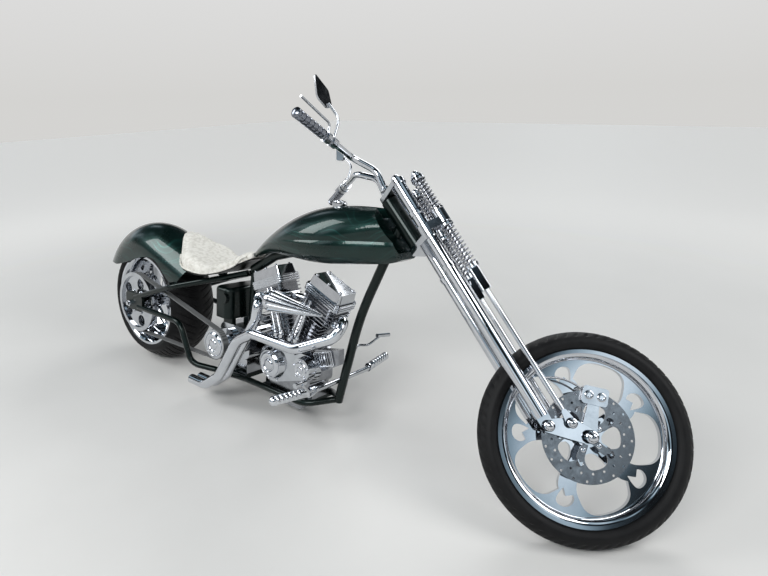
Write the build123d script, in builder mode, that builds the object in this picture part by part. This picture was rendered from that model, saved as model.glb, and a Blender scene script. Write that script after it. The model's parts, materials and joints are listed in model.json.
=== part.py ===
from build123d import *
import os
from math import cos, degrees, radians, sin, sqrt

# A rigid custom motorcycle with a springer fork, parked on its side stand.
# It is modelled upright and steered straight ahead, with the rear axle's centre as origin,
# +X forward, +Y to the rider's left and +Z up. The last section leans it onto the stand.
os.makedirs("parts", exist_ok=True)

# Stance
rake = 44.0
head_x = 1520.0
head_z = 632.0
fork_offset = 120.0
fork_length = 992.0
lean = 9.0
steering_lock = 39.0
play = 0.3

# Wheels and tyres
rear_tyre_radius = 330.0
rear_tyre_width = 250.0
rear_crown_radius = 150.0
rear_tyre_height = 101.0
rear_rim_lip = 12.0
rear_bead_radius = rear_tyre_radius - rear_tyre_height
rear_lip_radius = rear_bead_radius + rear_rim_lip
rear_rim_width = 216.0
front_tyre_radius = 345.0
front_tyre_width = 96.0
front_crown_radius = 52.0
front_tyre_height = 78.0
front_rim_lip = 14.0
front_bead_radius = front_tyre_radius - front_tyre_height
front_lip_radius = front_bead_radius + front_rim_lip
front_rim_width = 58.0
tyre_wall = 9.0
rim_wall = 9.0
rim_depth = 19.0
spoke_count = 5
claw_turn = 12.0
web_thickness = 22.0
axle_radius = 10.0
spacer_radius = 16.0
slot_gap = 2.5
caliper_wall = 12.0
front_hub_half = 50.0
front_hub_radius = 34.0
rear_hub_half = 74.0
rear_hub_radius = 42.0
disc_radius = 146.0
disc_track = 41.0
disc_thickness = 5.0
disc_hole = 4.0

# Belt drive
belt_y = -150.0
belt_width = 28.6
belt_thickness = 5.0
pulley_radius = 153.0
pulley_flange = 2.5
trans_pulley_radius = 70.0
trans_x = 657.0
trans_z = -65.0

# Frame
rail_diameter = 28.0
rail_y = 186.0
plate_thickness = 16.0
backbone_diameter = 44.0
downtube_diameter = 38.0
downtube_bend = 1200.0
post_diameter = 32.0
neck_radius = 31.0
neck_top = 55.0
neck_bottom = -145.0
foot_x = 1300.0
foot_z = -150.0
rail_z = -215.0
rail_engine_y = 92.0

# Springer fork, in the fork's own frame: x forward of the steering axis, z up along it
stem_radius = 13.0
leg_y = 86.0
leg_x = 46.0
leg_diameter = 46.0
spring_leg_y = 80.0
spring_leg_x = 115.0
spring_leg_diameter = 19.0
leg_tilt = 1.4
leg_pivot_rise = 97.0
spring_pivot_rise = 68.0
leg_pivot_z = leg_pivot_rise - fork_length
spring_pivot_z = spring_pivot_rise - fork_length
rocker_inner_y = 66.0
rocker_thickness = 14.0
lug_thickness = 18.0
pivot_radius = 8.0
top_tree_thickness = 18.0
lower_tree_z = -150.0
lower_tree_thickness = 20.0
spring_radius = 20.0
wire_radius = 3.4
upper_spring_top = 48.0
upper_spring_base = -94.0
lower_spring_top = -150.3
lower_spring_base = -330.0
perch_radius = 25.0
bar_diameter = 25.4
grip_radius = 17.5
grip_length = 150.0
lever_reach = (34.0, -6.0, 36.0)
hose_points = [(196, -60, 108), (176, -60, 196), (98, -80, 226)]
hose_bends = [48]
hose_diameter = 7.0

# Side stand
stand_pivot = (905.0, 140.0, -226.0)
stand_foot_x = 955.0
stand_foot_y = 285.0
stand_eye = 16.0
stand_pin = 6.0
stand_radius = 7.8
stand_foot_radius = 22.0

# Engine
crank_x = 1050.0
crank_z = -140.0
vee_half = 22.5
case_radius = 118.0
case_half = 72.0
deck = 165.0
barrel_top = 330.0
head_top = 412.0
rocker_top = 490.0
barrel_radius = 58.0
fin_radius = 70.0
fin_count = 9
head_length = 184.0
head_half = 68.0
box_length = 196.0
box_half = 62.0
cam_x = 1068.0
cam_z = -58.0
cleaner_length = 268.0
cleaner_radius = 44.0
cleaner_point = 0.13
flute_count = 12
flute_radius = 8.0
cover_x = 988.0
cover_z = -80.0
cover_radius = 92.0
nose_x = 1190.0
nose_z = -46.0
nose_radius = 60.0
pipe_diameter = 45.0
pipe_wall = 2.0
port_radius = 27.0
gearbox_half = 70.0
mount_top = -205.0
primary_inner_y = 108.0
primary_thickness = 50.0

# Foot controls
control_x = 1292.0
control_z = -98.0
lever_path = [(1334, 8, -10), (1222, 196, -6), (1276, 204, 6), (1300, 262, 44)]
lever_toe = ((1296, 240, 48), (1306, 320, 38))
lever_diameter = 11.0

# Body
fender_radius = 412.0
fender_half = 150.0
fender_side = 262.0
fender_turn = 71.0
fender_tail = 158.0
fender_run = 345.0
sheet_wall = 2.6
pad_half = 143.0
pan_thickness = 5.0
tank_setback = 48.0


def tube(points, bends, diameter, bore=0.0):
    # A round tube along straight runs joined by arcs.
    with BuildPart() as made:
        with BuildLine() as path:
            if bends:
                FilletPolyline(*points, radius=bends)
            else:
                Polyline(*points)
        with BuildSketch(Plane(path.line @ 0, z_dir=path.line % 0)):
            Circle(diameter / 2)
            if bore:
                Circle(bore / 2, mode=Mode.SUBTRACT)
        sweep(path=path.line)
    return made.part


def rod(start, end, radius):
    # A straight round rod between two points.
    run = Vector(*end) - Vector(*start)
    with BuildPart() as made:
        with BuildSketch(Plane(start, z_dir=run)):
            Circle(radius)
        extrude(amount=run.length)
    return made.part


def link(plane, ends, thickness, hole=0.0):
    # A flat link whose outline wraps round circles, each with x, y and radius.
    with BuildPart() as made:
        with BuildSketch(plane):
            for x, y, radius in ends:
                with Locations((x, y)):
                    Circle(radius)
            make_hull()
            if hole:
                for x, y, radius in ends:
                    with Locations((x, y)):
                        Circle(hole, mode=Mode.SUBTRACT)
        extrude(amount=thickness)
    return made.part


def across(y):
    # A sketch plane facing the rider's left at the given y, with x forward and y up.
    return Plane((0, y, 0), x_dir=(1, 0, 0), z_dir=(0, -1, 0))


# Stance: the bike leans to its left about the line where its tyres meet the ground
neck_dir = Vector(-sin(radians(rake)), 0, cos(radians(rake)))
neck_fore = Vector(cos(radians(rake)), 0, sin(radians(rake)))
steered = Plane((head_x, 0, head_z),
                x_dir=neck_fore.rotate(Axis((0, 0, 0), neck_dir), steering_lock), z_dir=neck_dir)
front_hub = Plane(steered.from_local_coords(Vector(fork_offset, 0, -fork_length)),
                  x_dir=steered.x_dir, z_dir=steered.z_dir)


def posture(pitch):
    x_dir = Vector(1, 0, 0).rotate(Axis.Y, pitch).rotate(Axis.X, -lean)
    z_dir = Vector(0, 0, 1).rotate(Axis.Y, pitch).rotate(Axis.X, -lean)
    return Plane((0, 0, 0), x_dir=x_dir, z_dir=z_dir)


def lowest(centre, axle, radius, crown, pose):
    # The height of a tyre's lowest point, for a round crown.
    tip = pose.from_local_coords(axle).Z - pose.origin.Z
    return pose.from_local_coords(centre).Z - (radius - crown) * sqrt(1 - tip**2) - crown


pitch = 0.0
for step in range(8):
    pose = posture(pitch)
    rear_low = lowest(Vector(0, 0, 0), Vector(0, 1, 0), rear_tyre_radius, rear_crown_radius, pose)
    front_low = lowest(front_hub.origin, front_hub.y_dir, front_tyre_radius, front_crown_radius, pose)
    pitch += degrees((front_low - rear_low) / front_hub.origin.X)
parked = Plane((0, 0, -rear_low), x_dir=pose.x_dir, z_dir=pose.z_dir)


def stand_height(x, y):
    # The floor's height at x and y, in the upright bike's own frame.
    return -(x * parked.x_dir.Z + y * parked.y_dir.Z + parked.origin.Z) / parked.z_dir.Z


# Wheels and tyres, each about its own axle
def tyre(radius, width, crown, bead, lip, rim_width):
    shoulder = 0.46 * width
    shoulder_r = radius - crown + sqrt(crown**2 - shoulder**2)
    half = width / 2
    seat = rim_width / 2
    toe = seat - 1.5 * tyre_wall
    inside = shoulder - tyre_wall
    inside_r = shoulder_r - tyre_wall
    toe_r = bead + 7
    belly = (toe + inside) / 2 + 5
    heel = (seat, lip + play)
    side = (half, (shoulder_r + lip) / 2)
    with BuildPart() as made:
        with BuildSketch(Plane((0, 0, 0), x_dir=(0, 1, 0), z_dir=(1, 0, 0))):
            with BuildLine():
                Polyline((-heel[0], heel[1]), (-seat, bead), (-toe, bead), (-toe, toe_r))
                ThreePointArc((-toe, toe_r), (-belly, (toe_r + inside_r) / 2), (-inside, inside_r))
                ThreePointArc((-inside, inside_r), (0, radius - tyre_wall), (inside, inside_r))
                ThreePointArc((inside, inside_r), (belly, (toe_r + inside_r) / 2), (toe, toe_r))
                Polyline((toe, toe_r), (toe, bead), (seat, bead), heel)
                ThreePointArc(heel, side, (shoulder, shoulder_r))
                ThreePointArc((shoulder, shoulder_r), (0, radius), (-shoulder, shoulder_r))
                ThreePointArc((-shoulder, shoulder_r), (-side[0], side[1]), (-heel[0], heel[1]))
            make_face()
        revolve(axis=Axis.Y)
    return made.part


def polar(radius, angle):
    return (radius * cos(radians(angle)), radius * sin(radians(angle)))


# A claw window's outline as shares of the rim's radius and degrees past its low side
window_edge = ((0.25, 9), (0.45, 1), (0.71, -0.5), (0.82, 3.5), (0.92, 8), (0.975, 14), (0.985, 23), (0.98, 33),
               (0.955, 41), (0.9, 47), (0.83, 50.5), (0.755, 54))
window_heel = ((0.755, 54), (0.66, 49.5), (0.45, 47), (0.27, 40), (0.225, 24), (0.25, 9))
claw_hole = ((0.71, 57.5), (0.81, 55.3), (0.905, 56), (0.935, 61), (0.905, 67), (0.83, 70), (0.76, 68.5))


def claw_windows(inner):
    # Cuts the large windows and the small hole in each claw from the sketch around it.
    for index in range(spoke_count):
        turn = 360 / spoke_count * index + claw_turn
        for edges in ((window_edge, window_heel), (claw_hole,)):
            with BuildLine() as loop:
                for edge in edges:
                    Spline(*[polar(share * inner, turn + angle) for share, angle in edge])
                if len(edges) == 1:
                    barb = polar(0.8 * inner, turn + 62)
                    Polyline(polar(claw_hole[-1][0] * inner, turn + claw_hole[-1][1]), barb,
                             polar(claw_hole[0][0] * inner, turn + claw_hole[0][1]))
            make_face(loop.line.edges(), mode=Mode.SUBTRACT)


def billet_wheel(lip, bead, rim_width, hub_radius, hub_half):
    # A cut wheel: a rim, a flat web with claw spokes between large windows, and a hub.
    half = rim_width / 2
    inner = bead - rim_depth
    with BuildPart() as made:
        with BuildSketch(Plane((0, 0, 0), x_dir=(0, 1, 0), z_dir=(1, 0, 0))):
            with BuildLine():
                Polyline(
                    (half + rim_wall, lip),
                    (half + play, lip),
                    (half + play, bead - play),
                    (half - 14, bead - play),
                    (half - 20, bead - 14),
                    (-half + 20, bead - 14),
                    (-half + 14, bead - play),
                    (-half - play, bead - play),
                    (-half - play, lip),
                    (-half - rim_wall, lip),
                    (-half - rim_wall, lip - 12),
                )
                ThreePointArc((-half - rim_wall, lip - 12), (-half * 0.8, inner + 2), (-half * 0.45, inner))
                Line((-half * 0.45, inner), (half * 0.45, inner))
                ThreePointArc((half * 0.45, inner), (half * 0.8, inner + 2), (half + rim_wall, lip - 12))
                Line((half + rim_wall, lip - 12), (half + rim_wall, lip))
            make_face()
        revolve(axis=Axis.Y)
        with BuildSketch(Plane.XZ):
            Circle(inner + 2)
            claw_windows(inner)
        extrude(amount=web_thickness / 2, both=True)
        with BuildSketch(Plane.XZ):
            Circle(hub_radius)
        extrude(amount=hub_half, both=True)
        with BuildSketch(Plane.XZ):
            Circle(axle_radius + play)
        extrude(amount=hub_half + 1, both=True, mode=Mode.SUBTRACT)
    return made.part


def brake_disc(mount_y, side):
    # A drilled ring on a carrier with curved arms, against the hub's flange.
    ring_inner = disc_radius - disc_track
    with BuildPart() as made:
        with BuildSketch(across(mount_y)):
            Circle(disc_radius)
            Circle(ring_inner, mode=Mode.SUBTRACT)
            for radius, count, offset in ((disc_radius - 9, 20, 0), (ring_inner + 9, 20, 9)):
                with PolarLocations(radius, count, start_angle=offset):
                    Circle(disc_hole, mode=Mode.SUBTRACT)
            Circle(ring_inner + 1)
            claw_windows(ring_inner)
            Circle(axle_radius + 8, mode=Mode.SUBTRACT)
        extrude(amount=-side * disc_thickness)
    return made.part


with BuildPart() as rear_tyre:
    add(tyre(rear_tyre_radius, rear_tyre_width, rear_crown_radius,
             rear_bead_radius, rear_lip_radius, rear_rim_width))

with BuildPart() as front_tyre:
    add(tyre(front_tyre_radius, front_tyre_width, front_crown_radius,
             front_bead_radius, front_lip_radius, front_rim_width))

with BuildPart() as rear_wheel:
    add(billet_wheel(rear_lip_radius, rear_bead_radius, rear_rim_width, rear_hub_radius, rear_hub_half))

with BuildPart() as front_wheel:
    add(billet_wheel(front_lip_radius, front_bead_radius, front_rim_width, front_hub_radius, front_hub_half))

with BuildPart() as front_brake_disc:
    add(brake_disc(-front_hub_half, -1))

with BuildPart() as rear_brake_disc:
    add(brake_disc(rear_hub_half, 1))

pulley_inner_y = belt_y + belt_width / 2 + play
pulley_outer_y = belt_y - belt_width / 2 - play
with BuildPart() as rear_pulley:
    with BuildSketch(across(pulley_inner_y + pulley_flange)):
        Circle(pulley_radius)
        Circle(pulley_radius - 14, mode=Mode.SUBTRACT)
    extrude(amount=belt_width + 2 * play + 2 * pulley_flange)
    for edge_y in (pulley_inner_y + pulley_flange, pulley_outer_y):
        with BuildSketch(across(edge_y)):
            Circle(pulley_radius + belt_thickness)
            Circle(pulley_radius - 2, mode=Mode.SUBTRACT)
        extrude(amount=pulley_flange)
    with BuildSketch(across(belt_y + 6)):
        Circle(pulley_radius - 12)
        with PolarLocations((pulley_radius + rear_hub_radius) / 2 + 6, spoke_count):
            Circle(30, mode=Mode.SUBTRACT)
    extrude(amount=12)
    with BuildSketch(across(-rear_hub_half)):
        Circle(rear_hub_radius)
    extrude(until=Until.NEXT)
    with BuildSketch(across(-rear_hub_half)):
        Circle(axle_radius + play)
    extrude(amount=120, mode=Mode.SUBTRACT)

# Drive belt
with BuildPart() as drive_belt:
    with BuildSketch(across(belt_y + belt_width / 2)):
        Circle(pulley_radius + play + belt_thickness)
        with Locations((trans_x, trans_z)):
            Circle(trans_pulley_radius + play + belt_thickness)
        make_hull()
    extrude(amount=belt_width)
    with BuildSketch(across(belt_y + belt_width / 2)):
        Circle(pulley_radius + play)
        with Locations((trans_x, trans_z)):
            Circle(trans_pulley_radius + play)
        make_hull()
    extrude(amount=belt_width, mode=Mode.SUBTRACT)

# Frame
axle_end = rail_y + plate_thickness / 2
neck_plane = Plane(
    (head_x, 0, head_z),
    x_dir=(cos(radians(rake)), 0, sin(radians(rake))),
    z_dir=(-sin(radians(rake)), 0, cos(radians(rake))),
)
lower_path = [(60, -rail_y, -10), (425, -rail_y, -10), (516, -rail_y, -194), (620, -118, rail_z),
              (800, -rail_engine_y, rail_z), (1180, -rail_engine_y, rail_z), (foot_x - 20, -9, foot_z - 38)]
upper_path = [(30, -rail_y, 34), (340, -rail_y + 10, 148), (600, -62, 228), (722, -22, 268)]
downtube_path = [(1540, 0, 586), (1379, 0, 204), (foot_x - 10, 0, foot_z - 45)]
backbone_path = [(1490, 0, 560), (880, 0, 372), (738, 0, 286)]
stand_run = Vector(stand_foot_x, stand_foot_y, stand_height(stand_foot_x, stand_foot_y)) - Vector(*stand_pivot)
stand_folded = Vector(-0.99, 0.12, 0.02)
stand_axis = stand_run.cross(stand_folded).normalized()
stand_plane = Plane(stand_pivot, x_dir=stand_run.normalized(), z_dir=stand_axis)

with BuildPart() as downtube:
    add(tube(downtube_path, [downtube_bend], downtube_diameter))
    with BuildSketch(neck_plane.offset(neck_bottom)):
        Circle(neck_radius)
    extrude(amount=neck_top - neck_bottom)
    with BuildSketch(neck_plane.offset(neck_bottom - 60)):
        Circle(stem_radius + play)
    extrude(amount=neck_top - neck_bottom + 80, mode=Mode.SUBTRACT)

with BuildPart() as lower_rails:
    add(tube(lower_path, [70, 70, 100, 160, 120], rail_diameter))
    with BuildSketch(across(-rail_y + plate_thickness / 2)):
        with Locations((30, 14)):
            RectangleRounded(150, 92, 24)
        with Locations((0, 0)):
            Circle(axle_radius + play, mode=Mode.SUBTRACT)
    extrude(amount=plate_thickness)
    mirror(about=Plane.XZ)
    add(link(stand_plane.offset(stand_eye / 2 + play), [(0, 0, stand_eye), (-42, 0, stand_eye)], 9))
    add(rod((stand_pivot[0] - 13, rail_engine_y, rail_z),
            tuple(stand_plane.from_local_coords(Vector(-34, 0, stand_eye / 2 + play + 5))), 8))
    add(rod(tuple(stand_plane.from_local_coords(Vector(0, 0, -stand_eye / 2 - 4))),
            tuple(stand_plane.from_local_coords(Vector(0, 0, stand_eye / 2 + 2))), stand_pin))
    add(downtube.part, mode=Mode.SUBTRACT)

with BuildPart() as backbone:
    add(tube(backbone_path, [90], backbone_diameter))
    with BuildSketch(neck_plane.offset(neck_bottom - 60)):
        Circle(neck_radius + play)
    extrude(amount=neck_top - neck_bottom + 120, mode=Mode.SUBTRACT)
    add(rod((742, 0, 288), (712, 0, rail_z), post_diameter / 2))
    add(rod((712, -rail_engine_y - 2, rail_z), (712, rail_engine_y + 2, rail_z), 17))
    add(lower_rails.part, mode=Mode.SUBTRACT)

with BuildPart() as upper_rails:
    add(tube(upper_path, [160, 160], rail_diameter))
    add(rod((318, -176, 158), (318, -fender_half - play, 158), 9))
    mirror(about=Plane.XZ)
    add(lower_rails.part, mode=Mode.SUBTRACT)
    add(backbone.part, mode=Mode.SUBTRACT)

with BuildPart() as engine_mounts:
    for x, length in ((924, 42), (1170, 42), (706, 160)):
        with BuildSketch(Plane.XY.offset(rail_z - 8)):
            with Locations((x, 0)):
                Rectangle(length, 2 * (rail_engine_y - rail_diameter / 2 - play))
        extrude(amount=mount_top - rail_z + 8)
    add(backbone.part, mode=Mode.SUBTRACT)
    add(downtube.part, mode=Mode.SUBTRACT)
    add(lower_rails.part, mode=Mode.SUBTRACT)

# Fuel tank
tank_sections = (
    # x, bottom, top, half width
    (752, 348, 366, 24),
    (839, 372, 438, 62),
    (962, 402, 525, 103),
    (1133, 402, 606, 130),
    (1292, 412, 638, 130),
    (1420, 430, 645, 98),
    (1585, 470, 628, 66),
)
with BuildPart() as fuel_tank:
    for x, low, high, half in tank_sections:
        with BuildSketch(Plane((x, 0, 0), x_dir=(0, 1, 0), z_dir=(1, 0, 0))):
            with BuildLine():
                middle = low + 0.42 * (high - low)
                Line((-half * 0.62, low), (half * 0.62, low))
                ThreePointArc((half * 0.62, low), (half * 0.97, low + 0.14 * (high - low)), (half, middle))
                ThreePointArc((half, middle), (0, high), (-half, middle))
                ThreePointArc((-half, middle), (-half * 0.97, low + 0.14 * (high - low)), (-half * 0.62, low))
            make_face()
    loft()
    split(bisect_by=Plane(tuple(neck_plane.from_local_coords(Vector(-tank_setback, 0, 0))),
                          z_dir=neck_plane.x_dir), keep=Keep.BOTTOM)
    tunnel_end = Vector(*backbone_path[1]) - Vector(*backbone_path[0])
    with BuildSketch(Plane(backbone_path[0], x_dir=(0, 1, 0), z_dir=tunnel_end)):
        Circle(backbone_diameter / 2 + play)
        with Locations((0, -100)):
            Rectangle(backbone_diameter + 2 * play, 200)
    extrude(amount=tunnel_end.length + 160, mode=Mode.SUBTRACT)
    add(tube(downtube_path, [downtube_bend], downtube_diameter + 4), mode=Mode.SUBTRACT)

with BuildPart() as fuel_cap:
    with BuildSketch(Plane.XY.offset(628)):
        with Locations((1240, 0)):
            Circle(30)
    extrude(amount=18)
    chamfer(fuel_cap.faces().sort_by(Axis.Z)[-1].edges(), length=4)
    add(fuel_tank.part, mode=Mode.SUBTRACT)

# Rear fender: a sheet shell round the tyre that runs on forward under the seat
def fender_block(inset):
    half = fender_half - inset
    radial = Plane((0, 0, 0), x_dir=(0, 1, 0),
                   z_dir=(sin(radians(fender_turn)), 0, -cos(radians(fender_turn))))
    with BuildPart() as made:
        for straight in (True, False):
            with BuildSketch(radial):
                with BuildLine():
                    EllipticalCenterArc((0, fender_side), half, fender_radius - fender_side - inset, 0,
                                        arc_size=180)
                    Polyline((-half, fender_side), (-half, 60), (half, 60), (half, fender_side))
                make_face()
            if straight:
                extrude(amount=fender_run)
            else:
                revolve(axis=Axis((0, 0, 0), (0, -1, 0)), revolution_arc=fender_tail - fender_turn)
    return made.part


with BuildPart() as rear_fender:
    add(fender_block(0))
    add(fender_block(sheet_wall), mode=Mode.SUBTRACT)
    with BuildSketch(across(fender_half + 10)):
        with BuildLine():
            Polyline((324, 143), (520, 394), (720, 394), (720, -400), (-620, -400), (-620, 168), (-215, 168))
            Spline((-215, 168), (-90, 205), (60, 250), (150, 248), (235, 188), (324, 143))
        make_face()
    extrude(amount=2 * fender_half + 20, mode=Mode.SUBTRACT)

# Seat: a pan on the frame and the fender's front, and the pad on it
seat_top = ((190, 422), (240, 406), (300, 372), (371, 330), (449, 297), (530, 276), (610, 296), (690, 340),
            (776, 384))
seat_under = ((190, 374), (264, 330), (386, 249), (450, 238), (530, 240), (610, 262), (690, 304), (776, 346))


def under_line(points, drop, margin):
    # Everything below a side-view curve, across the whole seat.
    line = [(x, z - drop) for x, z in points]
    start = (line[0][0] - margin, line[0][1])
    end = (line[-1][0] + margin, line[-1][1])
    with BuildPart() as made:
        with BuildSketch(across(fender_half + 20)):
            with BuildLine():
                Spline(*line)
                Polyline(line[-1], end, (end[0], 0), (start[0], 0), start, line[0])
            make_face()
        extrude(amount=2 * fender_half + 40)
    return made.part


def seat_plan(grow):
    # The seat's outline from above, raised as a block.
    with BuildPart() as made:
        with BuildSketch(Plane.XY):
            with BuildLine():
                Spline((232 - grow, 0), (254 - grow, 44), (322, 100 + grow), (388, pad_half + grow),
                       (450, pad_half + grow), (530, pad_half + grow - 3), (600, 104 + grow), (690, 66 + grow),
                       (776, 44 + grow))
                Polyline((776, 44 + grow), (776, 0), (232 - grow, 0))
            make_face()
            mirror(about=Plane.XZ)
        extrude(amount=600)
    return made.part


with BuildPart() as seat_pad:
    add(under_line(seat_top, 0, 1))
    add(seat_plan(0), mode=Mode.INTERSECT)
    add(under_line(seat_under, 0, 40), mode=Mode.SUBTRACT)
    add(fender_block(-play), mode=Mode.SUBTRACT)
    add(fuel_tank.part, mode=Mode.SUBTRACT)

with BuildPart() as seat_pan:
    add(under_line(seat_under, play, 1))
    add(seat_plan(2), mode=Mode.INTERSECT)
    add(under_line(seat_under, play + pan_thickness, 40), mode=Mode.SUBTRACT)
    add(fender_block(-play), mode=Mode.SUBTRACT)
    add(fuel_tank.part, mode=Mode.SUBTRACT)

# Oil tank in front of the fender
with BuildPart() as oil_tank:
    with BuildSketch(Plane.XY.offset(50)):
        with Locations((640, 0)):
            RectangleRounded(112, 224, 36)
    extrude(amount=146)
    fillet(oil_tank.faces().sort_by(Axis.Z)[-1].edges(), radius=18)
    with BuildSketch(across(-104)):
        with Locations((668, 150)):
            Circle(24)
    extrude(amount=18)
    with BuildSketch(Plane.XY.offset(50)):
        with Locations((640, -60), (640, 60)):
            Rectangle(60, 24)
    extrude(amount=-35)

# The two exhaust pipes' routes, each from its port
front_pipe = [(1296, -44, 152), (1396, -60, 256), (1352, -120, 132), (1215, -196, 66), (965, -200, 70),
              (868, -200, 14), (742, -200, -190), (640, -197, -262), (525, -190, -268)]
rear_pipe = [(868, -72, 182), (945, -152, 200), (928, -153, 110), (866, -153, 8), (740, -153, -192),
             (640, -150, -264), (530, -144, -270)]

# Engine: crankcase, two finned barrels, heads and rocker boxes at 45 degrees
def bank(side):
    # A plane whose z runs up a barrel from the crank; side is -1 for the rear, 1 for the front.
    tilt = radians(vee_half * side)
    return Plane((crank_x, 0, crank_z), x_dir=(cos(tilt), 0, -sin(tilt)), z_dir=(sin(tilt), 0, cos(tilt)))


with BuildPart() as crankcase:
    with BuildSketch(across(case_half)):
        with Locations((crank_x, crank_z)):
            Circle(case_radius)
        with Locations((crank_x - 20, crank_z + 34)):
            RectangleRounded(2 * case_radius + 10, 90, 30)
        with Locations((crank_x + 62, crank_z + 40)):
            RectangleRounded(150, 110, 30)
    extrude(amount=2 * case_half)
    for side in (-1, 1):
        with BuildSketch(bank(side)):
            Circle(barrel_radius + 10)
        extrude(amount=deck)
    with BuildSketch(across(case_half - 12)):
        with Locations((crank_x, crank_z - case_radius + 8)):
            RectangleRounded(170, 44, 14)
        with Locations((crank_x - 3, mount_top + 14)):
            Rectangle(290, 28)
    extrude(amount=2 * case_half - 24)
    with BuildSketch(across(primary_inner_y)):
        with Locations((crank_x, crank_z)):
            Circle(50)
    extrude(amount=primary_inner_y - case_half + 2)
    with BuildSketch(across(-40)):
        Polygon((1150, -80), (1150, -56), (1190, -40), (1212, 34), (1338, 64), (1342, 0), (1262, -46), (1190, -80),
                align=None)
    extrude(amount=case_half - 40 - play)

with BuildPart() as cam_cover:
    with BuildSketch(across(-case_half)):
        with Locations((cover_x, cover_z)):
            Circle(cover_radius)
        with Locations((nose_x, nose_z)):
            Circle(nose_radius)
        make_hull()
    extrude(amount=26, taper=14)
    for x, z, radius, height, taper in ((cover_x, cover_z, cover_radius - 18, 24, 26),
                                        (nose_x, nose_z, nose_radius - 8, 38, 5)):
        with BuildSketch(across(-case_half - 25)):
            with Locations((x, z)):
                Circle(radius)
        extrude(amount=height, taper=taper)
    with BuildSketch(across(-case_half)):
        with Locations((cam_x, cam_z + 83)):
            Rectangle(136, 52)
    extrude(amount=46)

with BuildPart() as cylinders:
    for side in (-1, 1):
        with BuildSketch(bank(side).offset(deck)):
            Circle(barrel_radius)
        extrude(amount=barrel_top - deck)
        fin_pitch = (barrel_top - deck) / fin_count
        for index in range(fin_count):
            with BuildSketch(bank(side).offset(deck + fin_pitch * (index + 0.5))):
                Rectangle(2 * fin_radius - 14, 2 * fin_radius)
            extrude(amount=3.2)

with BuildPart() as cylinder_heads:
    for side in (-1, 1):
        with BuildSketch(bank(side).offset(barrel_top)):
            RectangleRounded(head_length - 22, 2 * head_half - 16, 20)
        extrude(amount=head_top - barrel_top)
        fin_pitch = (head_top - barrel_top) / 5
        for index in range(5):
            with BuildSketch(bank(side).offset(barrel_top + fin_pitch * (index + 0.4))):
                RectangleRounded(head_length, 2 * head_half, 24)
            extrude(amount=4)
    for start, toward in ((front_pipe[0], front_pipe[1]), (rear_pipe[0], rear_pipe[1])):
        inward = (Vector(*start) - Vector(*toward)).normalized() * 44
        add(rod(tuple(Vector(*start) + inward), start, port_radius))

with BuildPart() as rocker_boxes:
    for side in (-1, 1):
        with BuildSketch(bank(side).offset(head_top)):
            RectangleRounded(box_length, 2 * box_half, 16)
        extrude(amount=(rocker_top - head_top) * 0.45)
        with BuildSketch(bank(side).offset(head_top + (rocker_top - head_top) * 0.45)):
            RectangleRounded(box_length - 14, 2 * box_half - 14, 14)
        extrude(amount=(rocker_top - head_top) * 0.55, taper=9)

tappet_z = cam_z + 92 + 17
with BuildPart() as pushrod_tubes:
    for x, side, up in ((1008, -1, 26), (1040, -1, 52), (1094, 1, -52), (1126, 1, -26)):
        top = bank(side).from_local_coords(Vector(up, 0, head_top - 12))
        add(rod((x, -105, tappet_z + 6), (top.X, -head_half - 12, top.Z), 8))
        with BuildSketch(Plane.XY.offset(tappet_z)):
            with Locations((x, -105)):
                Circle(12)
        extrude(amount=16)

cleaner_base = Vector(1058, -172, 226)
with BuildPart() as air_intake:
    for reach, scale_by in ((0, 1.0), (cleaner_length, cleaner_point)):
        with BuildSketch(Plane(cleaner_base + Vector(reach, 0, 0), x_dir=(0, 1, 0), z_dir=(1, 0, 0))):
            Circle(cleaner_radius * scale_by)
            with PolarLocations((cleaner_radius + 3) * scale_by, flute_count):
                Circle(flute_radius * scale_by, mode=Mode.SUBTRACT)
    loft()
    with BuildSketch(Plane(cleaner_base, x_dir=(0, 1, 0), z_dir=(1, 0, 0))):
        Circle(cleaner_radius)
    extrude(amount=-34)
    fillet(air_intake.faces().sort_by(Axis.X)[0].edges(), radius=24)
    with BuildSketch(across(-20)):
        with Locations((cleaner_base.X - 17, cleaner_base.Z)):
            Circle(24)
    extrude(amount=-cleaner_base.Y - 20)
    with BuildSketch(across(-78)):
        with Locations((cleaner_base.X - 17, cleaner_base.Z - 6)):
            RectangleRounded(70, 70, 12)
    extrude(amount=38)
    add(rod((cleaner_base.X - 90, -36, cleaner_base.Z), (cleaner_base.X + 60, -36, cleaner_base.Z), 19))
    add(cylinder_heads.part, mode=Mode.SUBTRACT)

# Gearbox and primary drive
with BuildPart() as gearbox:
    with BuildSketch(across(gearbox_half)):
        with Locations((690, -60)):
            RectangleRounded(210, 150, 34)
        with Locations((706, -170)):
            Rectangle(150, 70)
    extrude(amount=2 * gearbox_half)
    with BuildSketch(across(-gearbox_half)):
        with Locations((trans_x, trans_z)):
            Circle(60)
    extrude(amount=18)
    with BuildSketch(across(primary_inner_y)):
        with Locations((712, -70)):
            Circle(56)
    extrude(amount=primary_inner_y - gearbox_half + 2)
    add(backbone.part, mode=Mode.SUBTRACT)
    with BuildSketch(across(pulley_inner_y)):
        with Locations((trans_x, trans_z)):
            Circle(trans_pulley_radius)
    extrude(amount=belt_width + 2 * play)
    with BuildSketch(across(-gearbox_half - 17)):
        with Locations((trans_x, trans_z)):
            Circle(26)
    extrude(amount=-pulley_inner_y - gearbox_half - 15)

with BuildPart() as primary_cover:
    with BuildSketch(across(primary_inner_y + primary_thickness)):
        with Locations((crank_x, crank_z + 6)):
            Circle(64)
        with Locations((700, -70)):
            Circle(108)
        make_hull()
    extrude(amount=primary_thickness)
    fillet(primary_cover.faces().sort_by(Axis.Y)[-1].edges(), radius=14)

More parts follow.
